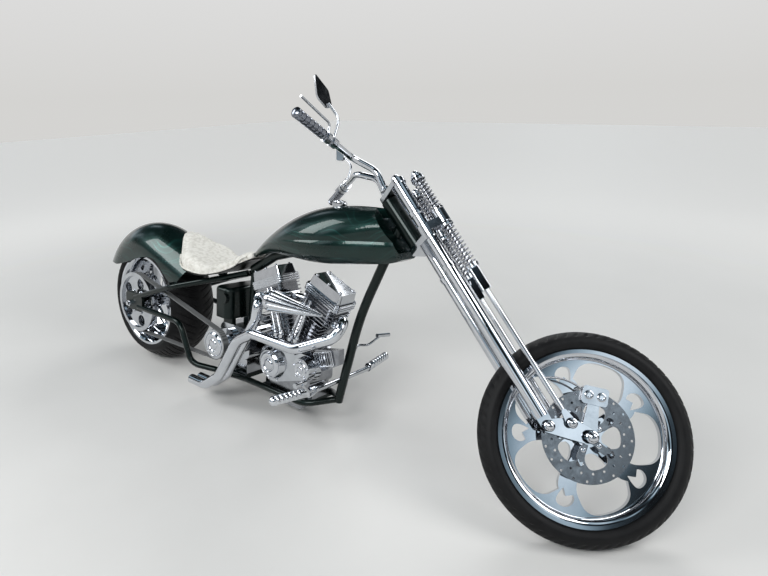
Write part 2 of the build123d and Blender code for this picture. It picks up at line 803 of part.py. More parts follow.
# Exhaust: two pipes that meet outside the gearbox and sweep down and back
with BuildPart() as exhaust_pipes:
    add(tube(front_pipe, [42, 60, 80, 60, 120, 90, 90], pipe_diameter, pipe_diameter - 2 * pipe_wall))
    add(tube(rear_pipe, [30, 50, 100, 90, 90], pipe_diameter, pipe_diameter - 2 * pipe_wall))
    add(cylinder_heads.part, mode=Mode.SUBTRACT)

# Foot controls: a crossbar at the frame's foot, pegs, the brake pedal and the shift lever
with BuildPart() as foot_controls:
    add(rod((control_x, 0, control_z), (control_x, -198, control_z), 11))
    add(rod((control_x, -192, control_z), (control_x - 23, -350, control_z + 12), 15))
    mirror(about=Plane.XZ)
    add(link(across(-180), [(control_x, control_z, 19), (control_x + 34, control_z + 26, 12)], 12))
    add(tube([(control_x + 34, -188, control_z + 26), (control_x + 34, -222, control_z + 26),
              (control_x + 58, -290, control_z + 84)], [18], 11))
    add(rod((control_x + 50, -262, control_z + 84), (control_x + 50, -318, control_z + 84), 10))
    add(tube(lever_path, [14, 24], lever_diameter))
    add(rod(lever_toe[0], lever_toe[1], 9))
    add(downtube.part, mode=Mode.SUBTRACT)

# Rear axle with its spacers, and the rear brake's caliper on a bracket round the left one
with BuildPart() as rear_axle:
    add(rod((0, -axle_end - 22, 0), (0, axle_end + 22, 0), axle_radius))
    add(rod((0, rear_hub_half + play, 0), (0, axle_end - plate_thickness - play, 0), spacer_radius))
    add(rod((0, belt_y - 6 - play, 0), (0, plate_thickness + play - axle_end, 0), spacer_radius))
    for end_y in (-axle_end - play, axle_end + play + 12):
        with BuildSketch(across(end_y)):
            RegularPolygon(17, 6)
        extrude(amount=12)


def caliper(disc_y, angle, side, hub_clear):
    # A caliper block over a disc about the origin's axle, with a bracket outside the disc.
    x, z = polar(disc_radius - 16, angle)
    outer = disc_y + side * (disc_thickness + slot_gap + caliper_wall)
    inner = disc_y - side * (slot_gap + caliper_wall)
    with BuildPart() as made:
        with BuildSketch(across(max(outer, inner))):
            with Locations(Location((x, z), angle + 90)):
                RectangleRounded(82, 58, 11)
        extrude(amount=abs(outer - inner))
        with BuildSketch(across(max(disc_y, disc_y + side * disc_thickness) + slot_gap)):
            Circle(disc_radius + slot_gap)
        extrude(amount=disc_thickness + 2 * slot_gap, mode=Mode.SUBTRACT)
        plate_y = disc_y + side * (disc_thickness + slot_gap + play)
        with BuildSketch(across(max(plate_y, plate_y + side * 6))):
            Circle(26)
            with Locations((x, z)):
                Circle(16)
            make_hull()
            Circle(hub_clear, mode=Mode.SUBTRACT)
        extrude(amount=6)
    return made.part


with BuildPart() as rear_caliper:
    add(caliper(rear_hub_half, 120, 1, spacer_radius + play))
    stay_x, stay_z = polar(44, 120)
    add(rod((stay_x, rear_hub_half + disc_thickness + slot_gap + 2, stay_z),
            (stay_x, axle_end - plate_thickness - play, stay_z), 8))

# Springer fork, in its own frame; its legs lean back a little from the steering axis
leg_frame = Plane((0, 0, 0), x_dir=(cos(radians(leg_tilt)), 0, -sin(radians(leg_tilt))),
                  z_dir=(sin(radians(leg_tilt)), 0, cos(radians(leg_tilt))))
leg_pivot = leg_frame.from_local_coords(Vector(leg_x, 0, leg_pivot_z))
spring_pivot = leg_frame.from_local_coords(Vector(spring_leg_x, 0, spring_pivot_z))

with BuildPart() as top_tree:
    add(link(leg_frame.offset(neck_top + 5), [(0, 0, 30), (leg_x, -leg_y, 28), (leg_x, leg_y, 28)],
             top_tree_thickness))

with BuildPart() as lower_tree:
    with BuildSketch(Plane.XY.offset(lower_tree_z - 4)):
        Circle(stem_radius)
    extrude(amount=neck_top + 9 - lower_tree_z + 4)
    add(top_tree.part, mode=Mode.SUBTRACT)
    add(link(leg_frame.offset(lower_tree_z - lower_tree_thickness),
             [(0, 0, 32), (leg_x, -leg_y, 30), (leg_x, leg_y, 30)], lower_tree_thickness))
    for side in (-1, 1):
        with BuildSketch(leg_frame.offset(upper_spring_base - 50)):
            with Locations((spring_leg_x, side * spring_leg_y)):
                Circle(perch_radius)
        extrude(amount=50)
        add(link(leg_frame.offset(lower_tree_z), [(leg_x, side * leg_y, 30),
                 (spring_leg_x, side * spring_leg_y, 20)], 30))
    for side in (-1, 1):
        with BuildSketch(leg_frame.offset(lower_tree_z - 60)):
            with Locations((leg_x, side * leg_y)):
                Circle(leg_diameter / 2 + play)
            with Locations((spring_leg_x, side * spring_leg_y)):
                Circle(spring_leg_diameter / 2 + play)
        extrude(amount=140, mode=Mode.SUBTRACT)

with BuildPart() as rear_fork_legs:
    with BuildSketch(Plane.XY.offset(neck_top + 5)):
        with Locations((leg_x, leg_y)):
            Circle(leg_diameter / 2)
    extrude(amount=leg_pivot_z + 34 - neck_top - 5)
    add(link(Plane((0, rocker_inner_y + rocker_thickness + play, 0), x_dir=(1, 0, 0), z_dir=(0, 1, 0)),
             [(leg_x, -leg_pivot_z, 20), (leg_x, -leg_pivot_z - 60, 22)], lug_thickness))
    add(rod((leg_x, rocker_inner_y - 4, leg_pivot_z), (leg_x, leg_y + 26, leg_pivot_z), pivot_radius))
    mirror(about=Plane.XZ)

with BuildPart() as front_fork_legs:
    with BuildSketch(Plane.XY.offset(upper_spring_top + 14)):
        with Locations((spring_leg_x, spring_leg_y)):
            Circle(spring_leg_diameter / 2)
    extrude(amount=spring_pivot_z + 26 - upper_spring_top - 14)
    with BuildSketch(Plane.XY.offset(lower_spring_base - 4)):
        with Locations((spring_leg_x, spring_leg_y)):
            RectangleRounded(34, 28, 5)
    extrude(amount=-88)
    for level in (upper_spring_top + 4, lower_spring_base - 4):
        with BuildSketch(Plane.XY.offset(level)):
            with Locations((spring_leg_x, spring_leg_y)):
                Circle(perch_radius)
        extrude(amount=3.7)
    add(link(Plane((0, rocker_inner_y + rocker_thickness + play, 0), x_dir=(1, 0, 0), z_dir=(0, 1, 0)),
             [(spring_leg_x, -spring_pivot_z, 16), (spring_leg_x, -spring_pivot_z - 40, 9)], 12))
    add(rod((spring_leg_x, rocker_inner_y - 4, spring_pivot_z),
            (spring_leg_x, spring_leg_y + 20, spring_pivot_z), pivot_radius))
    mirror(about=Plane.XZ)

with BuildPart() as rockers:
    add(link(Plane((0, rocker_inner_y, 0), x_dir=(1, 0, 0), z_dir=(0, 1, 0)),
             [(leg_pivot.X, -leg_pivot.Z, 20), (spring_pivot.X, -spring_pivot.Z, 18), (fork_offset, fork_length, 24)],
             rocker_thickness))
    for x, z, radius in ((leg_pivot.X, leg_pivot.Z, pivot_radius), (spring_pivot.X, spring_pivot.Z, pivot_radius),
                         (fork_offset, -fork_length, axle_radius)):
        add(rod((x, 0, z), (x, 120, z), radius + play), mode=Mode.SUBTRACT)
    mirror(about=Plane.XZ)


def coil(base, top, turns):
    # A compression spring about a front leg, standing on its base.
    with BuildPart() as made:
        with BuildLine(Plane((spring_leg_x, spring_leg_y, base + wire_radius))) as wire:
            Helix(pitch=(top - base - 2 * wire_radius) / turns, height=top - base - 2 * wire_radius,
                  radius=spring_radius)
        with BuildSketch(Plane(wire.line @ 0, z_dir=wire.line % 0)):
            RegularPolygon(wire_radius, 6)
        sweep(path=wire.line, is_frenet=True)
    return made.part


with BuildPart() as fork_springs:
    add(coil(upper_spring_base, upper_spring_top, 9))
    add(coil(lower_spring_base, lower_spring_top, 11))
    mirror(about=Plane.XZ)

with BuildPart() as handlebar:
    add(tube([(1, -38, 80.6), (15, -34, 171), (-41, -67, 250), (-159, -368, 332)], [60, 60], bar_diameter))
    mirror(about=Plane.XZ)

grip_end = Vector(-159, -368, 332)
grip_run = (Vector(-41, -67, 250) - grip_end).normalized()
with BuildPart() as grips:
    add(rod(tuple(grip_end - grip_run * 4), tuple(grip_end + grip_run * grip_length), grip_radius))
    add(rod(tuple(grip_end), tuple(grip_end + grip_run * (grip_length + 5)), bar_diameter / 2 + play),
        mode=Mode.SUBTRACT)
    mirror(about=Plane.XZ)

with BuildPart() as front_axle:
    add(rod((fork_offset, -100, -fork_length), (fork_offset, 100, -fork_length), axle_radius))
    for side in (-1, 1):
        add(rod((fork_offset, side * (front_hub_half + (disc_thickness if side < 0 else 0) + play), -fork_length),
                (fork_offset, side * (rocker_inner_y - play), -fork_length), 16))
        add(rod((fork_offset, side * (rocker_inner_y + rocker_thickness + play), -fork_length),
                (fork_offset, side * 98, -fork_length), 17))

# Front brake: the caliper's bracket sits round the axle's right spacer
with BuildPart() as front_caliper:
    hub_place = Location((fork_offset, 0, -fork_length))
    add(hub_place * caliper(-front_hub_half, 46, -1, spacer_radius + play))

lever_perch = grip_end + grip_run * (grip_length + 22)
lever_ahead = Vector(*lever_reach)
stalk_foot = grip_end + grip_run * (grip_length + 58)
upward = Vector(sin(radians(rake)), 0, cos(radians(rake)))
rearward = Vector(-cos(radians(rake)), 0, sin(radians(rake)))
outward = Vector(0, -1, 0)
stalk_end = stalk_foot + upward * 130 + rearward * 48 + outward * 24
glass_run = (rearward * 0.6 + outward * 0.75 + upward * 0.3).normalized()
with BuildPart() as hand_controls:
    add(rod(tuple(stalk_foot - grip_run * 13), tuple(stalk_foot + grip_run * 13), 19))
    add(tube([tuple(stalk_foot), tuple(stalk_foot + upward * 92), tuple(stalk_end)], [45], 10))
    add(link(Plane(stalk_end, x_dir=glass_run, z_dir=glass_run.cross(upward)),
             [(0, 0, 16), (34, 10, 28), (92, 34, 4)], 9))
    add(rod(tuple(lever_perch - grip_run * 11), tuple(lever_perch + grip_run * 11), 20))
    add(tube([tuple(lever_perch), tuple(lever_perch + lever_ahead),
              tuple(grip_end + grip_run * 6 + lever_ahead * 1.15)], [16], 9))
    add(rod(tuple(lever_perch - grip_run * 60), tuple(lever_perch + grip_run * 60), bar_diameter / 2 + play),
        mode=Mode.SUBTRACT)
    mirror(about=Plane.XZ)

with BuildPart() as brake_hose:
    add(tube([(x, y, z - fork_length) for x, y, z in hose_points], hose_bends, hose_diameter))
    add(front_caliper.part, mode=Mode.SUBTRACT)
    add(leg_frame.location * front_fork_legs.part, mode=Mode.SUBTRACT)

# Side stand, hinged under the left rail
stand_foot = stand_plane.origin + stand_run
ground_normal = parked.to_local_coords(Vector(0, 0, 1)) - parked.to_local_coords(Vector(0, 0, 0))
with BuildPart() as side_stand:
    with BuildSketch(stand_plane.offset(-stand_eye / 2)):
        Circle(stand_eye)
    extrude(amount=stand_eye)
    add(rod(stand_pivot, tuple(stand_foot + ground_normal * 6), stand_radius))
    with BuildSketch(stand_plane.offset(-stand_eye)):
        Circle(stand_pin + play)
    extrude(amount=2 * stand_eye, mode=Mode.SUBTRACT)
    add(rod(tuple(stand_foot), tuple(stand_foot + ground_normal * 9), stand_foot_radius))

rear_group = parked.location
fork_group = parked.location * steered.location
leg_group = fork_group * leg_frame.location
front_wheel_group = parked.location * front_hub.location

nodes = (
    (rear_tyre, "rear_tyre", rear_group),
    (rear_wheel, "rear_wheel", rear_group),
    (rear_pulley, "rear_pulley", rear_group),
    (rear_brake_disc, "rear_brake_disc", rear_group),
    (rear_axle, "rear_axle", rear_group),
    (rear_caliper, "rear_caliper", rear_group),
    (drive_belt, "drive_belt", rear_group),
    (lower_rails, "lower_rails", rear_group),
    (upper_rails, "upper_rails", rear_group),
    (engine_mounts, "engine_mounts", rear_group),
    (downtube, "downtube", rear_group),
    (backbone, "backbone", rear_group),
    (fuel_tank, "fuel_tank", rear_group),
    (fuel_cap, "fuel_cap", rear_group),
    (rear_fender, "rear_fender", rear_group),
    (seat_pad, "seat_pad", rear_group),
    (seat_pan, "seat_pan", rear_group),
    (oil_tank, "oil_tank", rear_group),
    (crankcase, "crankcase", rear_group),
    (cam_cover, "cam_cover", rear_group),
    (cylinders, "cylinders", rear_group),
    (cylinder_heads, "cylinder_heads", rear_group),
    (rocker_boxes, "rocker_boxes", rear_group),
    (pushrod_tubes, "pushrod_tubes", rear_group),
    (air_intake, "air_intake", rear_group),
    (gearbox, "gearbox", rear_group),
    (primary_cover, "primary_cover", rear_group),
    (exhaust_pipes, "exhaust_pipes", rear_group),
    (foot_controls, "foot_controls", rear_group),
    (side_stand, "side_stand", rear_group),
    (top_tree, "top_tree", fork_group),
    (lower_tree, "lower_tree", fork_group),
    (rear_fork_legs, "rear_fork_legs", leg_group),
    (front_fork_legs, "front_fork_legs", leg_group),
    (rockers, "rockers", fork_group),
    (fork_springs, "fork_springs", leg_group),
    (handlebar, "handlebar", fork_group),
    (grips, "grips", fork_group),
    (hand_controls, "hand_controls", fork_group),
    (front_axle, "front_axle", fork_group),
    (front_caliper, "front_caliper", fork_group),
    (brake_hose, "brake_hose", fork_group),
    (front_tyre, "front_tyre", front_wheel_group),
    (front_wheel, "front_wheel", front_wheel_group),
    (front_brake_disc, "front_brake_disc", front_wheel_group),
)
low = [1e9, 1e9]
high = [-1e9, -1e9]
for piece, name, pose in nodes:
    piece.part = pose * piece.part
    box = piece.part.bounding_box()
    low = [min(low[0], box.min.X), min(low[1], box.min.Y)]
    high = [max(high[0], box.max.X), max(high[1], box.max.Y)]
centre = Location((-(low[0] + high[0]) / 2, -(low[1] + high[1]) / 2, 0))
for piece, name, pose in nodes:
    piece.part = centre * piece.part
    piece.part.label = name
    export_step(piece.part, f"parts/{name}.step")
print("origin shift", round(centre.position.X, 3), round(centre.position.Y, 3))
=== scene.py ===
import bpy
import json
from math import atan2, cos, hypot, pi, radians, sin, sqrt
from mathutils import Matrix, Vector


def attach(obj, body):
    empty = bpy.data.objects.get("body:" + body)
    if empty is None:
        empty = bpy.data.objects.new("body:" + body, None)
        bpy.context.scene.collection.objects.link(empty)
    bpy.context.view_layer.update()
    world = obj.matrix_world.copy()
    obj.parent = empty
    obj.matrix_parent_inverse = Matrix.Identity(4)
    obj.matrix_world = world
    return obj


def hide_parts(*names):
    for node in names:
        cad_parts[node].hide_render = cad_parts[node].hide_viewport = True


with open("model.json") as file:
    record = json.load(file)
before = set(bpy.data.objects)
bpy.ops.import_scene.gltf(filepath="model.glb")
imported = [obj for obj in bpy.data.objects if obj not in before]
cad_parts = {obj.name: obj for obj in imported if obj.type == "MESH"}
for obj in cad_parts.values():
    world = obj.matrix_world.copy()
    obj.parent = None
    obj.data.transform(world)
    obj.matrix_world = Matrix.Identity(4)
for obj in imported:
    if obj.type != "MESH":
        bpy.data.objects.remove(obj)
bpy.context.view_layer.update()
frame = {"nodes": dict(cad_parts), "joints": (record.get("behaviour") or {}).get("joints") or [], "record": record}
print("frame loaded")

# Where the upright bike, the steered fork and the front wheel stand in the room
joints = {joint["name"]: joint for joint in frame["joints"]}
stance = {"lean": 9.0, "pitch": 0.0815}


def placeFrom(origin, xDir, yDir, zDir):
    place = Matrix((xDir, yDir, zDir)).transposed().to_4x4()
    place.translation = Vector(origin)
    return place


leanTurn = Matrix.Rotation(-radians(stance["lean"]), 3, "X") @ Matrix.Rotation(radians(stance["pitch"]), 3, "Y")
bikePlace = leanTurn.to_4x4()
bikePlace.translation = Vector(joints["rear_wheel_joint"]["pos_m"])
steerAxis = Vector(joints["steering_joint"]["axis"]).normalized()
wheelAxis = Vector(joints["front_wheel_joint"]["axis"]).normalized()
foreAxis = wheelAxis.cross(steerAxis).normalized()
forkPlace = placeFrom(joints["steering_joint"]["pos_m"], foreAxis, wheelAxis, steerAxis)
wheelPlace = placeFrom(joints["front_wheel_joint"]["pos_m"], foreAxis, wheelAxis, steerAxis)


# Shared shader groups
def newGroup(name, inputs, outputs):
    group = bpy.data.node_groups.new(name, "ShaderNodeTree")
    for label, kind, value in inputs:
        socket = group.interface.new_socket(name=label, in_out="INPUT", socket_type=kind)
        socket.default_value = value
    for label, kind in outputs:
        group.interface.new_socket(name=label, in_out="OUTPUT", socket_type=kind)
    return group, group.nodes.new("NodeGroupInput"), group.nodes.new("NodeGroupOutput")


def noiseNode(tree, vector, scale, detail=3.0, roughness=0.5):
    node = tree.nodes.new("ShaderNodeTexNoise")
    node.inputs["Detail"].default_value = detail
    node.inputs["Roughness"].default_value = roughness
    if isinstance(scale, float):
        node.inputs["Scale"].default_value = scale
    else:
        tree.links.new(scale, node.inputs["Scale"])
    tree.links.new(vector, node.inputs["Vector"])
    return node


def mathNode(tree, operation, first, second=None, clamp=False):
    node = tree.nodes.new("ShaderNodeMath")
    node.operation = operation
    node.use_clamp = clamp
    for socket, value in zip(node.inputs, (first, second)):
        if isinstance(value, (int, float)):
            socket.default_value = value
        elif value is not None:
            tree.links.new(value, socket)
    return node.outputs[0]


def rampNode(tree, factor, stops):
    node = tree.nodes.new("ShaderNodeValToRGB")
    while len(node.color_ramp.elements) < len(stops):
        node.color_ramp.elements.new(0.5)
    for element, (position, colour) in zip(node.color_ramp.elements, stops):
        element.position = position
        element.color = (*colour, 1.0)
    tree.links.new(factor, node.inputs[0])
    return node.outputs[0]


def mixNode(tree, factor, first, second):
    node = tree.nodes.new("ShaderNodeMix")
    node.data_type = "RGBA"
    for socket, value in ((node.inputs[0], factor), (node.inputs[6], first), (node.inputs[7], second)):
        if isinstance(value, (int, float)):
            socket.default_value = value
        elif isinstance(value, tuple):
            socket.default_value = (*value, 1.0)
        else:
            tree.links.new(value, socket)
    return node.outputs[2]


# Handling marks: a soft cloudiness with fine rubbing lines, for roughness and colour
handling, handlingIn, handlingOut = newGroup(
    "handlingMarks",
    [("Vector", "NodeSocketVector", (0, 0, 0)), ("Low", "NodeSocketFloat", 0.1), ("High", "NodeSocketFloat", 0.3),
     ("Scale", "NodeSocketFloat", 14.0)],
    [("Roughness", "NodeSocketFloat"), ("Mask", "NodeSocketFloat"), ("Height", "NodeSocketFloat")])
cloud = noiseNode(handling, handlingIn.outputs["Vector"], handlingIn.outputs["Scale"], 4.0, 0.6)
fine = noiseNode(handling, handlingIn.outputs["Vector"], 420.0, 2.0)
soft = mathNode(handling, "MULTIPLY_ADD", cloud.outputs[0], 1.6)
handling.nodes[-1].inputs[2].default_value = -0.3
handling.nodes[-1].use_clamp = True
reach = handling.nodes.new("ShaderNodeMapRange")
handling.links.new(soft, reach.inputs[0])
handling.links.new(handlingIn.outputs["Low"], reach.inputs[3])
handling.links.new(handlingIn.outputs["High"], reach.inputs[4])
handling.links.new(reach.outputs[0], handlingOut.inputs["Roughness"])
handling.links.new(soft, handlingOut.inputs["Mask"])
handling.links.new(fine.outputs[0], handlingOut.inputs["Height"])


def startMaterial(name):
    material = bpy.data.materials.new(name)
    material.use_nodes = True
    tree = material.node_tree
    shader = tree.nodes["Principled BSDF"]
    coordinates = tree.nodes.new("ShaderNodeTexCoord")
    return material, tree, shader, coordinates.outputs["Object"]


def marks(tree, vector, low, high, scale):
    # The handling marks' group, with its lowest and highest roughness
    node = tree.nodes.new("ShaderNodeGroup")
    node.node_tree = handling
    tree.links.new(vector, node.inputs["Vector"])
    node.inputs["Low"].default_value = low
    node.inputs["High"].default_value = high
    node.inputs["Scale"].default_value = scale
    return node


def bumpInto(tree, shader, height, strength, distance):
    node = tree.nodes.new("ShaderNodeBump")
    node.inputs["Strength"].default_value = strength
    node.inputs["Distance"].default_value = distance
    tree.links.new(height, node.inputs["Height"])
    tree.links.new(node.outputs[0], shader.inputs["Normal"])


def metalFinish(name, pale, dark, low, high, scale=14.0, bump=0.02):
    material, tree, shader, vector = startMaterial(name)
    worn = marks(tree, vector, low, high, scale)
    shader.inputs["Metallic"].default_value = 1.0
    tree.links.new(mixNode(tree, worn.outputs["Mask"], pale, dark), shader.inputs["Base Color"])
    tree.links.new(worn.outputs["Roughness"], shader.inputs["Roughness"])
    bumpInto(tree, shader, worn.outputs["Height"], bump, 0.0003)
    return material


def paintFinish(name, deep, bright, flake, coat=0.55):
    # Dark metallic paint with fine flakes under a clear coat
    material, tree, shader, vector = startMaterial(name)
    worn = marks(tree, vector, 0.24, 0.34, 9.0)
    cells = tree.nodes.new("ShaderNodeTexVoronoi")
    cells.inputs["Scale"].default_value = 2600.0
    tree.links.new(vector, cells.inputs["Vector"])
    sparkle = tree.nodes.new("ShaderNodeSeparateColor")
    tree.links.new(cells.outputs["Color"], sparkle.inputs[0])
    base = mixNode(tree, worn.outputs["Mask"], deep, bright)
    glint = mathNode(tree, "MULTIPLY", sparkle.outputs[0], flake)
    tree.links.new(mixNode(tree, glint, base, (0.2, 0.45, 0.38)), shader.inputs["Base Color"])
    shader.inputs["Metallic"].default_value = 0.75
    tree.links.new(worn.outputs["Roughness"], shader.inputs["Roughness"])
    shader.inputs["Coat Weight"].default_value = coat
    shader.inputs["Coat Roughness"].default_value = 0.04
    shader.inputs["Specular IOR Level"].default_value = 0.3
    bumpInto(tree, shader, sparkle.outputs[1], 0.06, 0.0002)
    return material, tree, shader, vector


# Metals: name, pale and dark colour, lowest and highest roughness, scale of the marks, bump
chrome = metalFinish("mirrorChrome", (0.66, 0.68, 0.71), (0.54, 0.56, 0.60), 0.02, 0.09)
polished = metalFinish("polishedAlloy", (0.58, 0.60, 0.63), (0.44, 0.46, 0.49), 0.04, 0.16, 22.0)
castAlloy = metalFinish("engineAlloy", (0.38, 0.39, 0.41), (0.2, 0.21, 0.23), 0.1, 0.3, 30.0, 0.2)
springSteel = metalFinish("springSteel", (0.46, 0.47, 0.50), (0.32, 0.33, 0.36), 0.16, 0.30)
discSteel = metalFinish("groundSteel", (0.36, 0.37, 0.39), (0.24, 0.25, 0.27), 0.16, 0.3, 60.0)
bodyPaint, bodyTree, bodyShader, bodyVector = paintFinish(
    "bodyPaint", (0.0012, 0.0085, 0.0072), (0.003, 0.022, 0.019), 0.03)
framePaint = paintFinish("framePaint", (0.0012, 0.004, 0.0035), (0.002, 0.008, 0.007), 0.015, 0.35)[0]

# Ghosted wisps in the body's paint: bent bands, broken up by noise, a little paler than the colour under them
wisp = {"Scale": 4.2, "Distortion": 11.0, "Detail": 1.0, "Detail Scale": 0.9,
        "edges": ((0.0, 0.0), (0.8, 0.0), (0.88, 1.0), (0.93, 0.25), (1.0, 0.1)),
        "patches": ((0.4, 0.0), (0.62, 1.0)), "strength": 0.6, "colour": (0.02, 0.11, 0.095)}
wispWarp = noiseNode(bodyTree, bodyVector, 5.5, 2.0)
wispBands = bodyTree.nodes.new("ShaderNodeTexWave")
wispBands.bands_direction = "Z"
for label in ("Scale", "Distortion", "Detail", "Detail Scale"):
    wispBands.inputs[label].default_value = wisp[label]
bodyTree.links.new(bodyVector, wispBands.inputs["Vector"])
wispLines, wispPatches = (
    rampNode(bodyTree, factor, [(position, (shade, shade, shade)) for position, shade in stops])
    for factor, stops in ((wispBands.outputs["Fac"], wisp["edges"]), (wispWarp.outputs[0], wisp["patches"])))
wispShare = mathNode(bodyTree, "MULTIPLY", mathNode(bodyTree, "MULTIPLY", wispLines, wispPatches), wisp["strength"])
paintUnder = bodyShader.inputs["Base Color"].links[0].from_socket
bodyTree.links.new(mixNode(bodyTree, wispShare, paintUnder, wisp["colour"]), bodyShader.inputs["Base Color"])


def rubberFinish(name, dark, pale, low, high, bump):
    material, tree, shader, vector = startMaterial(name)
    worn = marks(tree, vector, low, high, 26.0)
    tree.links.new(mixNode(tree, worn.outputs["Mask"], dark, pale), shader.inputs["Base Color"])
    tree.links.new(worn.outputs["Roughness"], shader.inputs["Roughness"])
    shader.inputs["Specular IOR Level"].default_value = 0.16
    bumpInto(tree, shader, worn.outputs["Height"], bump, 0.0006)
    return material


tyreRubber = rubberFinish("tyreRubber", (0.005, 0.005, 0.0055), (0.011, 0.011, 0.0115), 0.42, 0.62, 0.3)
beltRubber = rubberFinish("beltRubber", (0.16, 0.165, 0.165), (0.24, 0.245, 0.245), 0.45, 0.6, 0.3)
panBlack = rubberFinish("panBlack", (0.008, 0.008, 0.009), (0.02, 0.02, 0.02), 0.25, 0.4, 0.15)

# The belt's cross ribs, as darker bands: painted shade where the grooves between the ribs fall into shadow
beltTree = beltRubber.node_tree
beltRibShade = beltTree.nodes.new("ShaderNodeTexWave")
beltRibShade.bands_direction = "X"
beltRibShade.inputs["Scale"].default_value = 34.0
beltTree.links.new(beltTree.nodes["Texture Coordinate"].outputs["Object"], beltRibShade.inputs["Vector"])
beltShader = beltTree.nodes["Principled BSDF"]
beltTone = beltShader.inputs["Base Color"].links[0].from_socket
# Painted shade: the bands darken the rubber's colour towards near black
beltTree.links.new(mixNode(beltTree, mathNode(beltTree, "MULTIPLY", beltRibShade.outputs["Fac"], 0.75), beltTone,
                           (0.045, 0.047, 0.05)), beltShader.inputs["Base Color"])

# Seat leather: pale, with small raised quills over a creased grain, its creases darkened with painted shade and its
# quill tops lightened with a painted highlight
seatLeather, leatherTree, leatherShader, leatherVector = startMaterial("seatLeather")
leatherMarks = marks(leatherTree, leatherVector, 0.42, 0.6, 18.0)
cells = []
for feature, scale in (("SMOOTH_F1", 72.0), ("DISTANCE_TO_EDGE", 210.0)):
    cell = leatherTree.nodes.new("ShaderNodeTexVoronoi")
    cell.feature = feature
    cell.inputs["Scale"].default_value = scale
    leatherTree.links.new(leatherVector, cell.inputs["Vector"])
    cells.append(cell.outputs["Distance"])
quillTop = mathNode(leatherTree, "SUBTRACT", 1.0, mathNode(leatherTree, "MULTIPLY", cells[0], 1.7), True)
leatherHeight = mathNode(leatherTree, "ADD", quillTop, mathNode(leatherTree, "MULTIPLY", cells[1], 1.2))
leatherTone = mixNode(leatherTree, leatherMarks.outputs["Mask"], (0.74, 0.72, 0.66), (0.62, 0.6, 0.54))
# Painted shade and painted highlight: darker where the grain lies low, paler where it stands high
leatherShadeAndHighlight = rampNode(leatherTree, leatherHeight, [(0.0, (0.36, 0.34, 0.30)), (0.22, (0.62, 0.60, 0.55)),
                                                     (0.55, (0.86, 0.85, 0.81))])
leatherTree.links.new(mixNode(leatherTree, 0.36, leatherTone, leatherShadeAndHighlight), leatherShader.inputs["Base Color"])
leatherTree.links.new(leatherMarks.outputs["Roughness"], leatherShader.inputs["Roughness"])
bumpInto(leatherTree, leatherShader, leatherHeight, 0.7, 0.0015)
gripFinish = metalFinish("gripMetal", (0.3, 0.32, 0.36), (0.16, 0.17, 0.2), 0.12, 0.26)
print("materials made")

finishes = {
    "tyre_rubber": tyreRubber, "wheel_chrome": chrome, "polished": polished, "disc_steel": discSteel,
    "chrome": chrome, "belt_rubber": beltRubber, "frame_paint": framePaint, "body_paint": bodyPaint,
    "leather": seatLeather, "pan_black": panBlack, "engine_silver": castAlloy, "hose_braid": discSteel,
}
# The oil tank's slot is the polished metal, but it gets the frame's dark paint as painted shade, so that the shaded
# space behind the seat tube stays dark
shadeDarkNodes = ("oil_tank",)
slotOf = {row["node"]: row["material_slot"] for row in frame["record"]["subparts"]}
for nodeName, node in frame["nodes"].items():
    finish = framePaint if nodeName in shadeDarkNodes else finishes[slotOf[nodeName]]
    if node.data.materials:
        node.material_slots[0].material = finish
    else:
        node.data.materials.append(finish)
print("nodes finished")


# Ways of making pieces
def pickOnly(piece):
    # Only this piece is selected, and it is the active one
    bpy.ops.object.select_all(action="DESELECT")
    piece.select_set(True)
    bpy.context.view_layer.objects.active = piece


def applied(piece):
    pickOnly(piece)
    for modifier in list(piece.modifiers):
        bpy.ops.object.modifier_apply(modifier=modifier.name)


def mended(piece, threshold=0.0):
    # Doubles merged within the threshold, then all faces turned outward
    pickOnly(piece)
    bpy.ops.object.mode_set(mode="EDIT")
    bpy.ops.mesh.select_all(action="SELECT")
    if threshold:
        bpy.ops.mesh.remove_doubles(threshold=threshold)
    bpy.ops.mesh.normals_make_consistent(inside=False)
    bpy.ops.object.mode_set(mode="OBJECT")


def joined(pieces, name):
    bpy.ops.object.select_all(action="DESELECT")
    for piece in pieces:
        piece.select_set(True)
    bpy.context.view_layer.objects.active = pieces[0]
    if len(pieces) > 1:
        bpy.ops.object.join()
    pieces[0].name = name
    return pieces[0]


def finished(piece, body, material, angle=35.0):
    # The piece's shading, its material, the body that it rides on and its slot
    pickOnly(piece)
    bpy.ops.object.shade_smooth_by_angle(angle=radians(angle))
    piece.data.materials.clear()
    piece.data.materials.append(material)
    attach(piece, body)
    return piece


def turned(name, profile, steps=32):
    # A ring drawn up ring by ring along the (radius, height) line, and closed where the line meets the axis
    line = profile if profile[0][0] > 0 else tuple(reversed(profile))
    bpy.ops.object.select_all(action="DESELECT")
    bpy.ops.mesh.primitive_circle_add(vertices=steps, radius=line[0][0])
    piece = bpy.context.object
    piece.name = name
    piece.data.transform(Matrix.Translation((0, 0, line[0][1])))
    bpy.ops.object.mode_set(mode="EDIT")
    bpy.ops.mesh.select_all(action="SELECT")
    for (radius, height), (nextRadius, nextHeight) in zip(line, line[1:]):
        bpy.ops.mesh.extrude_region_move(TRANSFORM_OT_translate={"value": (0, 0, nextHeight - height)})
        if nextRadius > 0:
            bpy.ops.transform.resize(value=(nextRadius / radius, nextRadius / radius, 1),
                                     center_override=(0, 0, nextHeight))
        else:
            bpy.ops.mesh.merge(type="CENTER")
    bpy.ops.object.mode_set(mode="OBJECT")
    mended(piece)
    return piece


def aimed(place, base, direction):
    # A frame at the base with its Z axis along the direction, both given in the place's own frame
    turn = Vector(direction).to_track_quat("Z", "Y").to_matrix().to_4x4()
    turn.translation = Vector(base)
    return place @ turn


